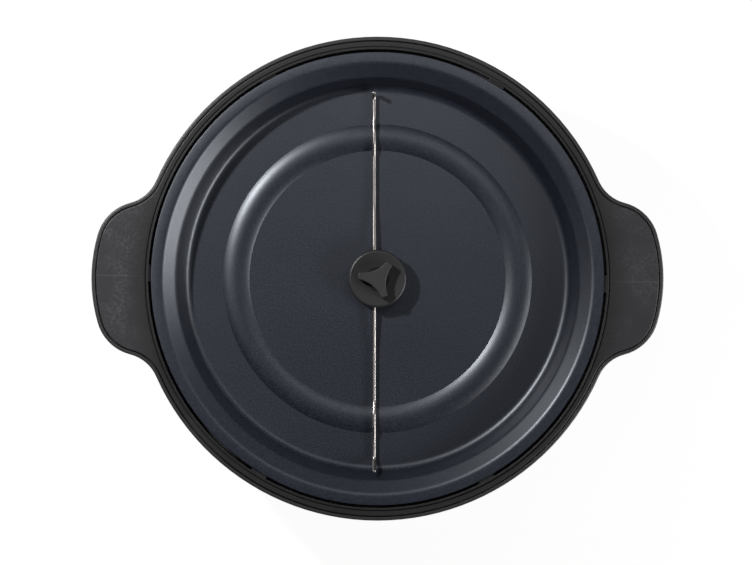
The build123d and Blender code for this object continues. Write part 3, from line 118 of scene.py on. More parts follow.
world = bpy.data.worlds.new("studio")
world.use_nodes = True
tree = world.node_tree
tree.nodes.clear()
where = node(tree, "ShaderNodeTexCoord")
parts = node(tree, "ShaderNodeSeparateXYZ", {"Vector": where.outputs["Generated"]})
bright_side = (math.cos(math.radians(ROOM_BRIGHT_DEG)), math.sin(math.radians(ROOM_BRIGHT_DEG)),
               ROOM_BRIGHT_LIFT)
toward = node(tree, "ShaderNodeVectorMath", {0: where.outputs["Generated"], 1: bright_side},
              operation="DOT_PRODUCT")
level = node(tree, "ShaderNodeMapRange", {"Value": toward.outputs["Value"], "From Min": ROOM_SPREAD[0],
             "From Max": ROOM_SPREAD[1], "To Min": ROOM_DARK, "To Max": ROOM_BRIGHT},
             interpolation_type="SMOOTHSTEP")
low = maths(tree, "LESS_THAN", parts.outputs["Z"], HORIZON)
path = node(tree, "ShaderNodeLightPath")
mirrored = maths(tree, "MULTIPLY", seen_directly(tree), low)
backdrop = maths(tree, "MAXIMUM", path.outputs["Is Camera Ray"], mirrored)
room = node(tree, "ShaderNodeBackground", {"Color": WHITE, "Strength": level.outputs[0]})
white = node(tree, "ShaderNodeBackground", {"Color": WHITE, "Strength": 1.0})
mixed = node(tree, "ShaderNodeMixShader", {0: backdrop, 1: room.outputs[0], 2: white.outputs[0]})
node(tree, "ShaderNodeOutputWorld", {"Surface": mixed.outputs[0]})
bpy.context.scene.world = world


def lamp(name, azimuth_deg, elevation_deg, distance_m, size_m, radiance):
    """Area lamp aimed at the middle of the pan; radiance is what a mirror would see."""
    data = bpy.data.lights.new(name, "AREA")
    data.shape = "RECTANGLE"
    data.size, data.size_y = size_m
    data.energy = radiance * math.pi * size_m[0] * size_m[1]
    azimuth, elevation = math.radians(azimuth_deg), math.radians(elevation_deg)
    back = np.array([math.cos(azimuth) * math.cos(elevation),
                     math.sin(azimuth) * math.cos(elevation), math.sin(elevation)])
    made = bpy.data.objects.new(name, data)
    made.location = back * distance_m + np.array([0, 0, RIM_TOP_M])
    outward = made.location.copy()
    outward.z -= RIM_TOP_M
    made.rotation_euler = outward.to_track_quat("Z", "Y").to_euler()
    made.visible_camera = False
    bpy.context.scene.collection.objects.link(made)


lamp("key_lamp", 144, 44.5, 0.90, (0.055, 0.055), 1400.0)
lamp("low_lamp", -20, 26, 1.10, (0.74, 0.28), 27.0)
lamp("top_panel", 60, 62, 0.55, (0.26, 0.26), 2.1)

FLOOR_HALF_M = 4.0
FLOOR_SHADE = 0.08                 # how much of the object's shadow the white floor keeps
FLOOR_GREY = (0.8, 0.8, 0.8, 1)

floor_mesh = bpy.data.meshes.new("floor")
floor_corners = np.array([[-1, -1, 0], [1, -1, 0], [1, 1, 0], [-1, 1, 0]]) * FLOOR_HALF_M
floor_mesh.from_pydata(floor_corners.tolist(), [], [(0, 1, 2, 3)])
floor = bpy.data.objects.new("floor", floor_mesh)
bpy.context.scene.collection.objects.link(floor)
floor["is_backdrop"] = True

floor_paint = bpy.data.materials.new("pale_floor")
floor_paint.use_nodes = True
tree = floor_paint.node_tree
tree.nodes.clear()
matt = node(tree, "ShaderNodeBsdfDiffuse", {"Color": FLOOR_GREY})
glow = node(tree, "ShaderNodeEmission", {"Color": WHITE, "Strength": 1.0})
share = maths(tree, "MULTIPLY", seen_directly(tree), 1.0 - FLOOR_SHADE)
blend = node(tree, "ShaderNodeMixShader", {0: share, 1: matt.outputs[0], 2: glow.outputs[0]})
node(tree, "ShaderNodeOutputMaterial", {"Surface": blend.outputs[0]})
floor_mesh.materials.append(floor_paint)


# ---- Heating pan --------------------------------------------------------------------
# The pan is pressed from aluminium sheet: a flat flange, a wall in two slopes, and a raised
# ring in the floor over the heater.  It is sprayed with a dark blue-grey non-stick coat with
# fine metal flake in it.  Threaded studs are welded to its underside.

PAN_LOW, PAN_HIGH = (np.array(corner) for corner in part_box("heating_pan"))
FLANGE_Z = PAN_HIGH[2]
FLANGE_R = PAN_HIGH[0]
PAN_SHEET = 0.0018                 # sheet thickness
PAN_DEPTH = 0.0215
FLOOR_Z = FLANGE_Z - PAN_DEPTH
FLOOR_R = 0.1144                   # corners of the outline: floor, change of slope, wall's top
KINK_R = 0.1196
KINK_RISE = 0.015                  # height of the change of slope over the floor
WALL_TOP_R = 0.1278
PAN_HOLE_R = 0.00655
RIDGE_R = 0.0845                   # the raised ring: middle, half width, height
RIDGE_HALF = 0.0079
RIDGE_RISE = 0.00195
RIDGE_POINTS = 29
RIDGE_HOLD = 0.0004                # flat kept beside it, so that the floor shades flat
FLANGE_BEND = 0.0027               # inner radii of the bends
FLOOR_BEND = 0.0046
KINK_BEND = 0.0055
BEND_STEP = math.radians(6)        # turn between two points of a bend
BEND_HOLD = 0.0005                 # point kept beside a bend, so that the flat shades flat
PAN_SEGMENTS = 720
SHARP_FROM = math.radians(22)      # edges that turn by more shade sharp
WELD_M, SLIVER_M = 1e-7, 1e-8      # points this close are merged, edges this short dissolved


def rounded(points, radii, arc_step, hold=0.0):
    """Open line of points with each inner corner replaced by an arc tangent to both its sides.

    Where the line turns by h, the arc of radius r starts r tan(h/2) back along the first side,
    and p(t) = centre + (sin((1-t)h) a + sin(t h) b) / sin h, where a and b lead from the centre
    to the tangent points.  With a hold, a point is kept that far outside an arc's end where the
    side has room for both four times over."""
    points = np.asarray(points, float)
    line = [points[:1]]
    for before, here, after, radius in zip(points, points[1:], points[2:], radii):
        back, ahead = before - here, after - here
        room_back, room_ahead = np.linalg.norm(back), np.linalg.norm(ahead)
        back, ahead = back / room_back, ahead / room_ahead
        turn = math.pi - math.acos(np.clip(back @ ahead, -1, 1))
        reach = radius * math.tan(turn / 2)
        middle = (back + ahead) / np.linalg.norm(back + ahead)
        centre = here + middle * radius / math.cos(turn / 2)
        start, end = here + back * reach, here + ahead * reach
        steps = max(3, int(math.ceil(turn / arc_step)))
        share = np.linspace(0, 1, steps + 1)[:, None]
        arc = np.sin((1 - share) * turn) * (start - centre) + np.sin(share * turn) * (end - centre)
        if hold and room_back > 4 * (reach + hold):
            line.append([start + back * hold])
        line.append(centre + arc / math.sin(turn))
        if hold and room_ahead > 4 * (reach + hold):
            line.append([end + ahead * hold])
    return np.vstack(line + [points[-1:]])


def turned(profile, segments, centre=(0.0, 0.0)):
    """Surface of revolution: (r, z) goes to (x + r cos a, y + r sin a, z) for a round the axis."""
    angle = np.linspace(0, 2 * math.pi, segments, endpoint=False)[:, None]
    radius, height = profile[:, 0][None, :], profile[:, 1][None, :]
    return np.stack([centre[0] + radius * np.cos(angle), centre[1] + radius * np.sin(angle),
                     height + 0 * angle], axis=-1)


def surface_mesh(name, grids):
    """One mesh from grids of points (rows, columns, 3), each given with its closed directions.

    Neighbouring points make quads; a closed direction joins its last row to its first.
    Doubled points at poles are merged, and the winding is turned until the volume is positive."""
    all_points, all_quads, start = [], [], 0
    for points, close_rows, close_columns in grids:
        rows, columns = points.shape[:2]
        row = np.arange(rows if close_rows else rows - 1)[:, None]
        column = np.arange(columns if close_columns else columns - 1)[None, :]
        next_row, next_column = (row + 1) % rows, (column + 1) % columns
        quads = np.stack([row * columns + column, next_row * columns + column,
                          next_row * columns + next_column, row * columns + next_column], -1)
        quads = quads.reshape(-1, 4)
        flat = points.reshape(-1, 3)
        a, b, c, d = (flat[quads[:, side]] for side in range(4))
        volume = np.einsum("ij,ij->i", a, np.cross(b, c)) + np.einsum("ij,ij->i", a, np.cross(c, d))
        if volume.sum() < 0:
            quads = quads[:, ::-1]
        all_points.append(flat)
        all_quads.append(quads + start)
        start += len(flat)
    mesh = bpy.data.meshes.new(name)
    mesh.from_pydata(np.vstack(all_points), [], np.vstack(all_quads).tolist())
    work = bmesh.new()
    work.from_mesh(mesh)
    bmesh.ops.remove_doubles(work, verts=work.verts, dist=WELD_M)
    bmesh.ops.dissolve_degenerate(work, edges=work.edges, dist=SLIVER_M)
    work.to_mesh(mesh)
    work.free()
    mesh.polygons.foreach_set("use_smooth", [True] * len(mesh.polygons))
    mesh.set_sharp_from_angle(angle=SHARP_FROM)
    mesh.update()
    made = bpy.data.objects.new(name, mesh)
    bpy.context.scene.collection.objects.link(made)
    return made


def pan_face(depth):
    """One face of the sheet, from the middle hole out to the flange, at a depth in the sheet."""
    corners = np.array([[PAN_HOLE_R, FLOOR_Z], [FLOOR_R, FLOOR_Z], [KINK_R, FLOOR_Z + KINK_RISE],
                        [WALL_TOP_R, FLANGE_Z], [FLANGE_R, FLANGE_Z]])
    sides = np.diff(corners, axis=0)
    sides /= np.linalg.norm(sides, axis=1)[:, None]
    outward = np.stack([sides[:, 1], -sides[:, 0]], axis=1)
    mean = np.vstack([outward[:1], outward[:-1] + outward[1:], outward[-1:]])
    mean /= np.linalg.norm(mean, axis=1)[:, None]
    first = np.vstack([outward, outward[-1:]])
    corners = corners + mean * (depth / np.einsum("ij,ij->i", mean, first))[:, None]
    bends = [FLOOR_BEND + depth, KINK_BEND + depth, FLANGE_BEND + PAN_SHEET - depth]
    outer = rounded(corners, bends, BEND_STEP, BEND_HOLD)
    curve = (RIDGE_HALF**2 + RIDGE_RISE**2) / (2 * RIDGE_RISE) - depth
    half = math.sqrt(curve**2 - (curve - RIDGE_RISE)**2)
    across = np.linspace(-half, half, RIDGE_POINTS)
    ridge = np.stack([RIDGE_R + across, FLOOR_Z - depth + RIDGE_RISE - curve
                      + np.sqrt(curve**2 - across**2)], axis=1)
    hold_in = np.array([[RIDGE_R - half - RIDGE_HOLD, FLOOR_Z - depth]])
    hold_out = np.array([[RIDGE_R + half + RIDGE_HOLD, FLOOR_Z - depth]])
    return np.vstack([outer[:1], hold_in, ridge, hold_out, outer[1:]])


# The flange's softened edge, as (inset from its radius, drop from its top).
EDGE_UPPER_INSET, EDGE_LOWER_INSET = 0.0007, 0.0008
EDGE_ROUND = np.array([[0.0002, 0.0001], [0.0, 0.0006], [0.0, 0.0013], [0.0003, PAN_SHEET - 0.0001]])

upper, lower = pan_face(0.0), pan_face(PAN_SHEET)
upper[-1, 0] -= EDGE_UPPER_INSET
lower[-1, 0] -= EDGE_LOWER_INSET
pan_outline = np.vstack([upper, np.array([FLANGE_R, FLANGE_Z]) - EDGE_ROUND, lower[::-1]])

STUD_DEGREES = [90, 210, 330]
COLUMN_R, COLUMN_STUD_R = 0.052, 0.0020          # studs for the columns
SMALL_STUD_R = 0.0015
CLAMP_REACH, CLAMP_STUD_LENGTH = 0.013, 0.006    # either side of the raised ring
STRAP_STUD_X, STRAP_STUD_Y, STRAP_STUD_LENGTH = 0.0135, -0.044, 0.0095
STUD_CHAMFER, STUD_ROOT = 0.0003, 0.0002
STUD_SEGMENTS = 20
UNDER_Z = FLOOR_Z - PAN_SHEET

studs = []
for angle in np.radians(STUD_DEGREES):
    way = np.array([math.cos(angle), math.sin(angle)])
    studs.append((COLUMN_R * way, COLUMN_STUD_R, PAN_LOW[2]))
    for reach in (RIDGE_R - CLAMP_REACH, RIDGE_R + CLAMP_REACH):
        studs.append((reach * way, SMALL_STUD_R, UNDER_Z - CLAMP_STUD_LENGTH))
for place_x in (-STRAP_STUD_X, STRAP_STUD_X):
    studs.append((np.array([place_x, STRAP_STUD_Y]), SMALL_STUD_R, UNDER_Z - STRAP_STUD_LENGTH))
grids = [(turned(pan_outline, PAN_SEGMENTS), True, True)]
for place, radius, low_z in studs:
    pin = np.array([[0, low_z], [radius - STUD_CHAMFER, low_z], [radius, low_z + STUD_CHAMFER],
                    [radius, UNDER_Z + STUD_ROOT], [0, UNDER_Z + STUD_ROOT]])
    grids.append((turned(pin, STUD_SEGMENTS, place), True, False))
pan = surface_mesh("pan_pressing", grids)
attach(pan, "housing")
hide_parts("heating_pan")


def group(name, inputs, outputs):
    """Empty shader group with named float inputs (name, default) and outputs (name, kind)."""
    made = bpy.data.node_groups.new(name, "ShaderNodeTree")
    for label, default in inputs:
        socket = made.interface.new_socket(label, in_out="INPUT", socket_type="NodeSocketFloat")
        socket.default_value = default
    for label, kind in outputs:
        made.interface.new_socket(label, in_out="OUTPUT", socket_type=kind)
    start = made.nodes.new("NodeGroupInput")
    end = made.nodes.new("NodeGroupOutput")
    return made, start, end


# Fine grain, as in a sprayed coat or a moulded texture: two sizes of noise, put out as a height
# and as a slow tone that drifts over the surface.
fine_grain, start, end = group("fine_grain", [("Grains per metre", 3000.0), ("Drift per metre", 14.0)],
                               [("Height", "NodeSocketFloat"), ("Tone", "NodeSocketFloat")])
place = node(fine_grain, "ShaderNodeTexCoord")
small = node(fine_grain, "ShaderNodeTexNoise", {"Vector": place.outputs["Object"],
             "Scale": start.outputs[0], "Detail": 2.0, "Roughness": 0.6})
slow = node(fine_grain, "ShaderNodeTexNoise", {"Vector": place.outputs["Object"],
            "Scale": start.outputs[1], "Detail": 3.0, "Roughness": 0.55})
fine_grain.links.new(small.outputs["Fac"], end.inputs["Height"])
fine_grain.links.new(slow.outputs["Fac"], end.inputs["Tone"])


def use_group(tree, shared, inputs=None):
    """Places a shared group in a material."""
    made = node(tree, "ShaderNodeGroup")
    made.node_tree = shared
    for key, value in (inputs or {}).items():
        made.inputs[key].default_value = value
    return made


def new_paint(name):
    """Material with a bare Principled shader: gives the material, its tree and the shader."""
    made = bpy.data.materials.new(name)
    made.use_nodes = True
    made.node_tree.nodes.clear()
    shader = node(made.node_tree, "ShaderNodeBsdfPrincipled")
    node(made.node_tree, "ShaderNodeOutputMaterial", {"Surface": shader.outputs[0]})
    return made, made.node_tree, shader


def ranged(tree, value, low, high, from_low=0.0, from_high=1.0):
    """Value mapped from one range to another and held inside it."""
    made = node(tree, "ShaderNodeMapRange", {"Value": value, "From Min": from_low,
                "From Max": from_high, "To Min": low, "To Max": high})
    return made.outputs[0]


def colour_mix(tree, factor, first, second):
    """Colour between two colours: the Mix node's inputs 6 and 7, and its output 2."""
    made = node(tree, "ShaderNodeMix", data_type="RGBA")
    tree.links.new(factor, made.inputs["Factor"])
    for key, value in ((6, first), (7, second)):
        if isinstance(value, bpy.types.NodeSocket):
            tree.links.new(value, made.inputs[key])
        else:
            made.inputs[key].default_value = (*value, 1.0)
    return made.outputs[2]


def drifting(tree, grain, first, second, low=0.3, high=0.7):
    """Colour that drifts from one colour to another with the grain's slow tone."""
    return colour_mix(tree, ranged(tree, grain.outputs["Tone"], 0.0, 1.0, low, high), first, second)


def bumped(tree, height, distance, over=None):
    """Normal from a height, over another normal where one is given."""
    made = node(tree, "ShaderNodeBump", {"Height": height, "Distance": distance, "Strength": 1.0})
    if over is not None:
        tree.links.new(over, made.inputs["Normal"])
    return made.outputs[0]


coat, tree, shader = new_paint("non_stick_coat")
grain = use_group(tree, fine_grain, {"Grains per metre": 2600.0, "Drift per metre": 11.0})
where = node(tree, "ShaderNodeTexCoord")
flakes = node(tree, "ShaderNodeTexNoise", {"Vector": where.outputs["Object"], "Scale": 950.0, "Detail": 3.0,
              "Roughness": 0.75})
sparkle = ranged(tree, flakes.outputs["Fac"], 0.0, 1.0, 0.42, 0.72)
base = drifting(tree, grain, (0.0022, 0.0029, 0.0058), (0.0030, 0.0038, 0.0072))
tree.links.new(colour_mix(tree, sparkle, base, (0.013, 0.015, 0.022)), shader.inputs["Base Color"])
tree.links.new(ranged(tree, grain.outputs["Tone"], 0.355, 0.435), shader.inputs["Roughness"])
tree.links.new(bumped(tree, grain.outputs["Height"], 0.00002), shader.inputs["Normal"])
shader.inputs["Specular IOR Level"].default_value = 0.5
shader.inputs["Specular Tint"].default_value = (0.88, 0.93, 1.0, 1.0)
pan.data.materials.append(coat)


# ---- Housing and top rim ------------------------------------------------------------
# Two mouldings in black heat-proof plastic: the housing with its edge bead, and the rim that
# lies in it and makes the flat handle tops.  The rim is handled most and shows light scuffs.

# Scuffs: short strokes from noise stretched along one direction, kept inside cloudy patches.
# The mottle is fine dust, kept inside wider patches.
scuffs, start, end = group("light_scuffs", [("Strokes per metre", 160.0), ("Turn", 0.6)],
                           [("Mask", "NodeSocketFloat"), ("Mottle", "NodeSocketFloat")])
place = node(scuffs, "ShaderNodeTexCoord")
turn = node(scuffs, "ShaderNodeCombineXYZ", {"Z": start.outputs["Turn"]})
laid = node(scuffs, "ShaderNodeMapping", {"Vector": place.outputs["Object"], "Rotation": turn.outputs[0],
                                          "Scale": (1.0, 9.0, 1.0)})
stroke = node(scuffs, "ShaderNodeTexNoise", {"Vector": laid.outputs[0], "Scale": start.outputs[0],
              "Detail": 4.0, "Roughness": 0.65})
patch = node(scuffs, "ShaderNodeTexNoise", {"Vector": place.outputs["Object"], "Scale": 38.0,
             "Detail": 2.0})
thin = ranged(scuffs, stroke.outputs["Fac"], 0.0, 1.0, 0.56, 0.74)
cloud = ranged(scuffs, patch.outputs["Fac"], 0.0, 1.0, 0.48, 0.66)
scuffs.links.new(maths(scuffs, "MULTIPLY", thin, cloud), end.inputs["Mask"])
speck = node(scuffs, "ShaderNodeTexNoise", {"Vector": place.outputs["Object"], "Scale": 650.0,
             "Detail": 3.0, "Roughness": 0.7})
wide = node(scuffs, "ShaderNodeTexNoise", {"Vector": place.outputs["Object"], "Scale": 62.0,
            "Detail": 2.5})
fine_dust = ranged(scuffs, speck.outputs["Fac"], 0.0, 1.0, 0.40, 0.72)
dusty = ranged(scuffs, wide.outputs["Fac"], 0.12, 1.0, 0.42, 0.68)
scuffs.links.new(maths(scuffs, "MULTIPLY", fine_dust, dusty), end.inputs["Mottle"])

MOULD_EDGE_R = 0.0006              # rounding that the shading gives to hard edges
MOULD_GRAIN = 0.00003              # height of the moulded grain


def on_plan(tree):
    """Place by the object's own axes, without its height: (x, y, 0)."""
    where = node(tree, "ShaderNodeTexCoord")
    return node(tree, "ShaderNodeVectorMath", {0: where.outputs["Object"], 1: (1, 1, 0)},
                operation="MULTIPLY").outputs[0]


def moulded_black(name, colour, light, roughness, scuff_turn, scuff_share, grains=1500.0, shine=0.32,
                  dish=0.0):
    """Black moulded plastic: fine grain, slow drift in tone, light scuffs and softened edges.

    With a dish, it shades as the height dish * r**2 round the object's axis instead of with
    softened edges."""
    made, tree, shader = new_paint(name)
    grain = use_group(tree, fine_grain, {"Grains per metre": grains, "Drift per metre": 20.0})
    worn = use_group(tree, scuffs, {"Turn": scuff_turn})
    drift = drifting(tree, grain, colour, tuple(1.25 * part for part in colour))
    share = ranged(tree, worn.outputs["Mask"], 0.0, scuff_share)
    tree.links.new(colour_mix(tree, share, drift, light), shader.inputs["Base Color"])
    tree.links.new(ranged(tree, grain.outputs["Tone"], roughness - 0.05, roughness + 0.07),
                   shader.inputs["Roughness"])
    if dish:
        plan = on_plan(tree)
        square = node(tree, "ShaderNodeVectorMath", {0: plan, 1: plan}, operation="DOT_PRODUCT")
        form = bumped(tree, square.outputs["Value"], dish)
    else:
        form = node(tree, "ShaderNodeBevel", {"Radius": MOULD_EDGE_R}, samples=4).outputs[0]
    tree.links.new(bumped(tree, grain.outputs["Height"], MOULD_GRAIN, form), shader.inputs["Normal"])
    shader.inputs["Specular IOR Level"].default_value = shine
    return made


def finish(paint, *names):
    """Gives CAD nodes a finished material."""
    for name in names:
        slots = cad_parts[name].material_slots
        if not slots:
            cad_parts[name].data.materials.append(paint)
        for one in slots:
            one.material = paint


rim_paint = moulded_black("rim_moulding", (0.0055, 0.0055, 0.0058), (0.03, 0.03, 0.031),
                          roughness=0.46, scuff_turn=0.9, scuff_share=0.5, shine=0.22)
finish(rim_paint, "top_rim")

# The handles: their tops are paler than the rest of the rim, with dust in the grain.  The dust's
# mottle is made stronger on the left, painted light from the key lamp at the left.  A fine seam
# runs across them where two melt fronts met, along y = -slope * x.
HELD_FROM_R, HELD_FULL_R = 0.138, 0.152
# Share of the dust mottle on each side; the extra share on the left is painted light.
DUST_AND_LIGHT_LEFT, DUST_AND_LIGHT_RIGHT = 1.0, 0.45
HANDLE_X = 0.15                    # where each side has its full share
SEAM_SLOPE = 0.0125
SEAM_HALF, SEAM_FADED = 0.0002, 0.0007           # from its middle line
SEAM_SHARE = 0.28

tree = rim_paint.node_tree
shader = next(one for one in tree.nodes if one.type == "BSDF_PRINCIPLED")
moulded = shader.inputs["Base Color"].links[0].from_socket
where = node(tree, "ShaderNodeTexCoord")
far = node(tree, "ShaderNodeVectorMath", {0: on_plan(tree)}, operation="LENGTH")
held = ranged(tree, far.outputs["Value"], 0.0, 1.0, HELD_FROM_R, HELD_FULL_R)
dust = use_group(tree, scuffs, {"Turn": 1.5})
side = node(tree, "ShaderNodeSeparateXYZ", {"Vector": where.outputs["Object"]})
# Painted light: the mottle grows towards the left, where the key lamp falls.
painted_light_left = ranged(tree, side.outputs["X"], DUST_AND_LIGHT_LEFT, DUST_AND_LIGHT_RIGHT, -HANDLE_X, HANDLE_X)
across = node(tree, "ShaderNodeVectorMath", {0: where.outputs["Object"], 1: (SEAM_SLOPE, 1.0, 0.0)},
              operation="DOT_PRODUCT")
beside = maths(tree, "ABSOLUTE", across.outputs["Value"])
seam = ranged(tree, beside, SEAM_SHARE, 0.0, SEAM_HALF, SEAM_FADED)
paler = maths(tree, "ADD", maths(tree, "MULTIPLY", dust.outputs["Mottle"], painted_light_left), seam)
handle_tone = colour_mix(tree, paler, (0.0128, 0.0125, 0.0142), (0.044, 0.043, 0.047))
tree.links.new(colour_mix(tree, held, moulded, handle_tone), shader.inputs["Base Color"])

finish(moulded_black("housing_moulding", (0.009, 0.009, 0.0093), (0.03, 0.03, 0.03),
                     roughness=0.42, scuff_turn=0.2, scuff_share=0.2, shine=0.36), "lower_housing")


# ---- Stirrer wire -------------------------------------------------------------------
# One bright steel wire, a few millimetres to the side of the axis: it passes round the shaft
# inside the hub, lifts over the raised ring, and turns up at both ends along the pan's wall.

SOLID_WIRE_R = 0.00125             # the frame's wire; the real one is a little thinner
WIRE_R = 0.00112
WIRE_LOW_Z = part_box("stirrer_wire")[0][2] + SOLID_WIRE_R
WIRE_X = -0.002
HUB_RISE = 0.0018
LOOP_X, LOOP_HALF = -0.0063, 0.0045              # the bend round the shaft
LOOP_END = 0.0095
SLOPE_TOP, SLOPE_FOOT = 0.0193, 0.0433           # from the axis, on both sides
HUMP_TOP, HUMP_FOOT = 0.0039, 0.0109             # from the raised ring's middle
FRONT_TURN_Y, FRONT_TIP_Y = 0.0059 - FLOOR_R, -0.1152
REAR_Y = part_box("stirrer_wire")[1][1] - SOLID_WIRE_R
TIP_Z = FLOOR_Z + 0.0125
TIP_ROUND = 0.00075
SLOPE_BEND, HUMP_BEND, LOOP_BEND, FRONT_BEND, REAR_BEND = 0.030, 0.008, 0.003, 0.005, 0.0036
WIRE_STEP = math.radians(7)


def rod_rings(path, radius, tip_r, around=24):
    """Rings of a round rod: p + r (cos a u + sin a v), with u and v carried along the path
    without twist, and quarter rounds of tip_r at both ends.  Any start for u will do that isn't
    along the rod."""
    ahead = np.diff(path, axis=0)
    ahead = np.vstack([ahead[:1], ahead[:-1] / np.linalg.norm(ahead[:-1], axis=1)[:, None]
                       + ahead[1:] / np.linalg.norm(ahead[1:], axis=1)[:, None], ahead[-1:]])
    ahead /= np.linalg.norm(ahead, axis=1)[:, None]
    side = np.cross(ahead[0], [1.0, 0.2, 0.1])
    sides = []
    for direction in ahead:
        side = side - direction * (side @ direction)
        side /= np.linalg.norm(side)
        sides.append(side)
    sides = np.array(sides)
    angle = np.linspace(0, 2 * math.pi, around, endpoint=False)
    circle = (np.cos(angle)[None, :, None] * sides[:, None, :]
              + np.sin(angle)[None, :, None] * np.cross(ahead, sides)[:, None, :])
    body = path[:, None, :] + radius * circle
    turn = np.radians([30, 60, 90])
    inset = tip_r * (1 - np.sin(turn))
    narrow = radius - tip_r * (1 - np.cos(turn))
    start = [path[0] + ahead[0] * back + size * circle[0]
             for back, size in zip(inset[::-1], narrow[::-1])]
    end = [path[-1] - ahead[-1] * back + size * circle[-1] for back, size in zip(inset, narrow)]
    body[0] += ahead[0] * tip_r
    body[-1] -= ahead[-1] * tip_r
    first = np.repeat(path[0][None, None, :], around, axis=1)
    last = np.repeat(path[-1][None, None, :], around, axis=1)
    return np.concatenate([first, np.array(start), body, np.array(end), last], axis=0)


half_run = [(HUB_RISE, SLOPE_TOP), (0.0, SLOPE_FOOT), (0.0, RIDGE_R - HUMP_FOOT),
            (RIDGE_RISE, RIDGE_R - HUMP_TOP), (RIDGE_RISE, RIDGE_R + HUMP_TOP), (0.0, RIDGE_R + HUMP_FOOT)]
front_run = [(WIRE_X, -along, WIRE_LOW_Z + up) for up, along in half_run]
front_run += [(WIRE_X, FRONT_TURN_Y, WIRE_LOW_Z), (WIRE_X, FRONT_TIP_Y, TIP_Z)]
rear_run = [(WIRE_X, along, WIRE_LOW_Z + up) for up, along in half_run]
rear_run += [(WIRE_X, REAR_Y, WIRE_LOW_Z), (WIRE_X, REAR_Y, TIP_Z)]
loop = [(WIRE_X, -LOOP_END), (LOOP_X, -LOOP_HALF), (LOOP_X, LOOP_HALF), (WIRE_X, LOOP_END)]
in_hub = [(x, y, WIRE_LOW_Z + HUB_RISE) for x, y in loop]
run_bends = [SLOPE_BEND] * 2 + [HUMP_BEND] * 4
all_bends = [FRONT_BEND] + run_bends[::-1] + [LOOP_BEND] * 4 + run_bends + [REAR_BEND]
wire_path = rounded(front_run[::-1] + in_hub + rear_run, all_bends, WIRE_STEP)
wire = surface_mesh("stirring_wire", [(rod_rings(wire_path, WIRE_R, TIP_ROUND), False, True)])
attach(wire, "stirrer")
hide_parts("stirrer_wire")

# Draw marks: noise stretched along one axis, as a height.
draw_marks, start, end = group("draw_marks", [("Marks per metre", 1500.0), ("Stretch", 0.02)],
                               [("Height", "NodeSocketFloat")])
place = node(draw_marks, "ShaderNodeTexCoord")
long_way = node(draw_marks, "ShaderNodeCombineXYZ", {"X": 1.0, "Y": start.outputs["Stretch"], "Z": 1.0})
laid = node(draw_marks, "ShaderNodeMapping", {"Vector": place.outputs["Object"],
                                              "Scale": long_way.outputs[0]})
mark = node(draw_marks, "ShaderNodeTexNoise", {"Vector": laid.outputs[0],
            "Scale": start.outputs["Marks per metre"], "Detail": 2.0})
draw_marks.links.new(mark.outputs["Fac"], end.inputs["Height"])


def bare_metal(name, colour, roughness, marks=1500.0, stretch=1.0, depth=0.00001, tarnish=0.8):
    """Bare metal: fine marks from its making, and a tone that drifts towards tarnish."""
    made, tree, shader = new_paint(name)
    grain = use_group(tree, fine_grain, {"Grains per metre": 900.0, "Drift per metre": 60.0})
    drawn = use_group(tree, draw_marks, {"Marks per metre": marks, "Stretch": stretch})
    shader.inputs["Metallic"].default_value = 1.0
    darker = tuple(tarnish * part for part in colour)
    tree.links.new(drifting(tree, grain, darker, colour, 0.35, 0.65), shader.inputs["Base Color"])
    tree.links.new(ranged(tree, grain.outputs["Tone"], roughness * 0.85, roughness * 1.25),
                   shader.inputs["Roughness"])
    tree.links.new(bumped(tree, drawn.outputs["Height"], depth), shader.inputs["Normal"])
    return made


wire.data.materials.append(bare_metal("drawn_steel", (0.235, 0.22, 0.21), 0.32, marks=900.0,
                                      stretch=0.01, depth=0.0000015, tarnish=0.92))


# ---- Stirrer hub and thumb nut ------------------------------------------------------
# The hub is a black nylon disc with a soft upper edge and a top that is very slightly dished.
# A grip with three arms and hollow sides screws down on it, over a thin blackened washer; its
# thread is a brass insert.

finish(moulded_black("hub_nylon", (0.011, 0.011, 0.0112), (0.05, 0.05, 0.05), roughness=0.40,
                     scuff_turn=0.5, scuff_share=0.35, grains=2200.0, shine=0.24, dish=2.6), "stirrer_hub")
finish(moulded_black("grip_nylon", (0.014, 0.014, 0.014), (0.08, 0.08, 0.08), roughness=0.44,
                     scuff_turn=1.4, scuff_share=0.5, grains=2200.0, shine=0.20), "thumb_nut")
finish(bare_metal("blackened_steel", (0.020, 0.020, 0.021), 0.46), "nut_washer")
finish(bare_metal("brass", (0.72, 0.52, 0.24), 0.25), "thumb_nut_insert", "terminal_screws")


# ---- Drive shaft and bush -----------------------------------------------------------
# A ground steel shaft turns in a flanged bush that is clamped through the pan's middle by a
# washer and a wide nut.  A sleeve of black nylon ties it to the motor's output shaft.

finish(bare_metal("shaft_steel", (0.62, 0.61, 0.60), 0.22, marks=2400.0), "drive_shaft", "gear_pins",
       "rotor_pin")
finish(bare_metal("spring_steel", (0.30, 0.30, 0.32), 0.34), "shaft_clip")
finish(bare_metal("bush_metal", (0.55, 0.55, 0.56), 0.30), "pan_bush", "bush_washer", "bush_nut")
finish(moulded_black("coupling_nylon", (0.012, 0.012, 0.012), (0.05, 0.05, 0.05), roughness=0.5,
                     scuff_turn=0.3, scuff_share=0.2), "shaft_coupling")


# ---- Heater, shield and columns -----------------------------------------------------
# The sheathed heater lies under the raised ring, held by three zinc-plated clamps.  A bright
# dished shield hangs below it, and three hexagon columns tie the pan to the base plate.

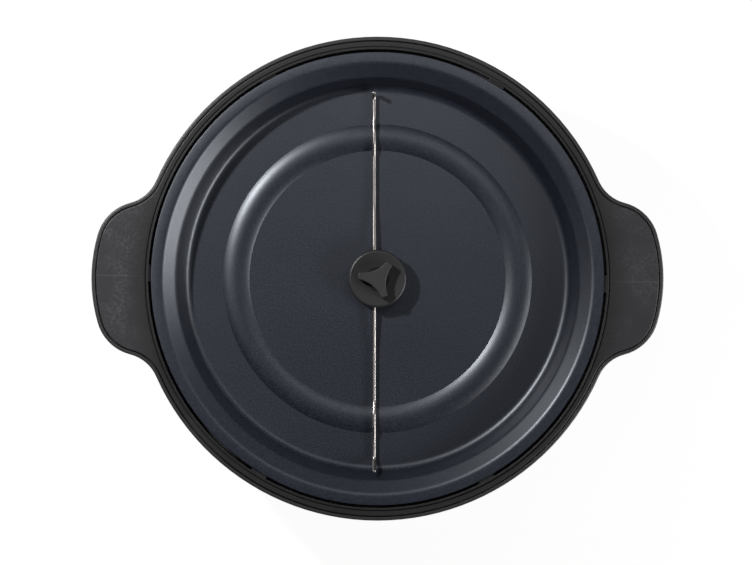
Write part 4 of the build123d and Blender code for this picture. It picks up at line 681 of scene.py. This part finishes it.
finish(bare_metal("heater_sheath", (0.30, 0.29, 0.27), 0.42, marks=800.0, depth=0.00002, tarnish=0.6),
       "heater_tube")
finish(bare_metal("zinc_plate", (0.60, 0.62, 0.64), 0.36, marks=500.0, depth=0.00002, tarnish=0.85),
       "heater_terminals", "heater_clamps", "clamp_nuts", "upper_columns", "lower_columns",
       "shield_spacers", "motor_bracket", "motor_can", "motor_cover", "gear_plate", "motor_screws",
       "motor_nuts", "thermostat_strap", "strap_nuts", "fuse_clip", "earth_tag", "block_screws",
       "base_screws", "column_screws", "rim_screws")
finish(bare_metal("shield_sheet", (0.74, 0.74, 0.75), 0.24, marks=700.0, stretch=0.05, tarnish=0.9),
       "heat_shield")


# ---- Motor and gears ----------------------------------------------------------------
# A flat synchronous motor: claw poles and a copper winding on a white bobbin round a ferrite
# rotor, and three gear steps in white nylon between their steel pins.

finish(bare_metal("pole_steel", (0.50, 0.50, 0.50), 0.45), "stator_poles")


def plain_moulding(name, colour, roughness, scatter=0.0):
    """Coloured plastic or ceramic: fine grain and a slight drift in tone."""
    made, tree, shader = new_paint(name)
    grain = use_group(tree, fine_grain, {"Grains per metre": 1800.0, "Drift per metre": 45.0})
    darker = tuple(0.88 * part for part in colour)
    tree.links.new(drifting(tree, grain, darker, colour), shader.inputs["Base Color"])
    tree.links.new(ranged(tree, grain.outputs["Tone"], roughness - 0.04, roughness + 0.06),
                   shader.inputs["Roughness"])
    tree.links.new(bumped(tree, grain.outputs["Height"], 0.00002), shader.inputs["Normal"])
    shader.inputs["Subsurface Weight"].default_value = scatter
    shader.inputs["Subsurface Radius"].default_value = (0.002, 0.002, 0.002)
    return made


finish(plain_moulding("gear_nylon", (0.80, 0.79, 0.74), 0.38, 0.1), "coil_bobbin", "first_gear",
       "second_gear", "output_gear", "rotor_pinion")
finish(plain_moulding("ferrite", (0.035, 0.034, 0.034), 0.55), "rotor_magnet")

# The winding's turns: bands across the coil, 0.3 mm apart, as height and tone; the tone is painted
# shade, darker in the grooves between turns.
copper, tree, shader = new_paint("enamelled_copper")
where = node(tree, "ShaderNodeTexCoord")
turns = node(tree, "ShaderNodeTexWave", {"Vector": where.outputs["Object"], "Scale": 1050.0,
             "Distortion": 0.6, "Detail": 1.0}, bands_direction="Z")
# Painted shade: dark copper where the bands dip between turns, bright on their crests.
tree.links.new(colour_mix(tree, turns.outputs["Fac"], (0.20, 0.055, 0.018), (0.62, 0.24, 0.09)),
               shader.inputs["Base Color"])
tree.links.new(bumped(tree, turns.outputs["Fac"], 0.00005), shader.inputs["Normal"])
shader.inputs["Metallic"].default_value = 0.8
shader.inputs["Roughness"].default_value = 0.32
finish(copper, "motor_winding")


# ---- Heat control and wiring --------------------------------------------------------
# A disc thermostat and a thermal fuse are strapped to the pan; leads in glass-fibre sleeves
# run between them, the motor and a white terminal block at the back.

finish(plain_moulding("phenolic", (0.045, 0.028, 0.020), 0.42), "thermostat")
finish(plain_moulding("ceramic_case", (0.60, 0.57, 0.50), 0.55), "thermal_fuse")
finish(plain_moulding("block_plastic", (0.72, 0.71, 0.68), 0.40), "terminal_block")

# The sleeve's braid: slanting bands as tone, and the same bands with grain as height; the tone is
# painted shade, darker where the braid dips.
sleeve, tree, shader = new_paint("fibre_sleeve")
where = node(tree, "ShaderNodeTexCoord")
bands = node(tree, "ShaderNodeTexWave", {"Vector": where.outputs["Object"], "Scale": 700.0,
               "Distortion": 0.3}, bands_direction="DIAGONAL")
grain = use_group(tree, fine_grain, {"Grains per metre": 2500.0, "Drift per metre": 70.0})
# Painted shade: the braid is darker where its bands dip.
tree.links.new(colour_mix(tree, bands.outputs["Fac"], (0.50, 0.47, 0.40), (0.74, 0.71, 0.64)),
               shader.inputs["Base Color"])
woven = maths(tree, "ADD", bands.outputs["Fac"], grain.outputs["Height"])
tree.links.new(bumped(tree, woven, 0.00008), shader.inputs["Normal"])
shader.inputs["Roughness"].default_value = 0.75
finish(sleeve, "inner_leads")


# ---- Base plate, feet and gland -----------------------------------------------------
# The vented base is the housing's plastic left matt; four soft feet are pushed through it.
# The gland low at the back is a glossy black moulding with its nut inside the wall.

finish(moulded_black("base_moulding", (0.011, 0.011, 0.011), (0.05, 0.05, 0.05), roughness=0.58,
                     scuff_turn=1.2, scuff_share=0.25), "base_plate")
finish(moulded_black("gland_moulding", (0.008, 0.008, 0.008), (0.04, 0.04, 0.04), roughness=0.32,
                     scuff_turn=0.1, scuff_share=0.2), "cord_gland", "gland_nut")

# Rubber: dull, with dust that lies in cloudy patches.
rubber, tree, shader = new_paint("foot_rubber")
grain = use_group(tree, fine_grain, {"Grains per metre": 1100.0, "Drift per metre": 120.0})
dusty = drifting(tree, grain, (0.016, 0.016, 0.017), (0.045, 0.044, 0.042), 0.4, 0.75)
tree.links.new(dusty, shader.inputs["Base Color"])
tree.links.new(bumped(tree, grain.outputs["Height"], 0.00006), shader.inputs["Normal"])
shader.inputs["Roughness"].default_value = 0.82
shader.inputs["Specular IOR Level"].default_value = 0.3
finish(rubber, "rubber_feet")


# ---- Size and closing ---------------------------------------------------------------
# The box of everything as it is dressed, without the floor.

low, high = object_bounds()
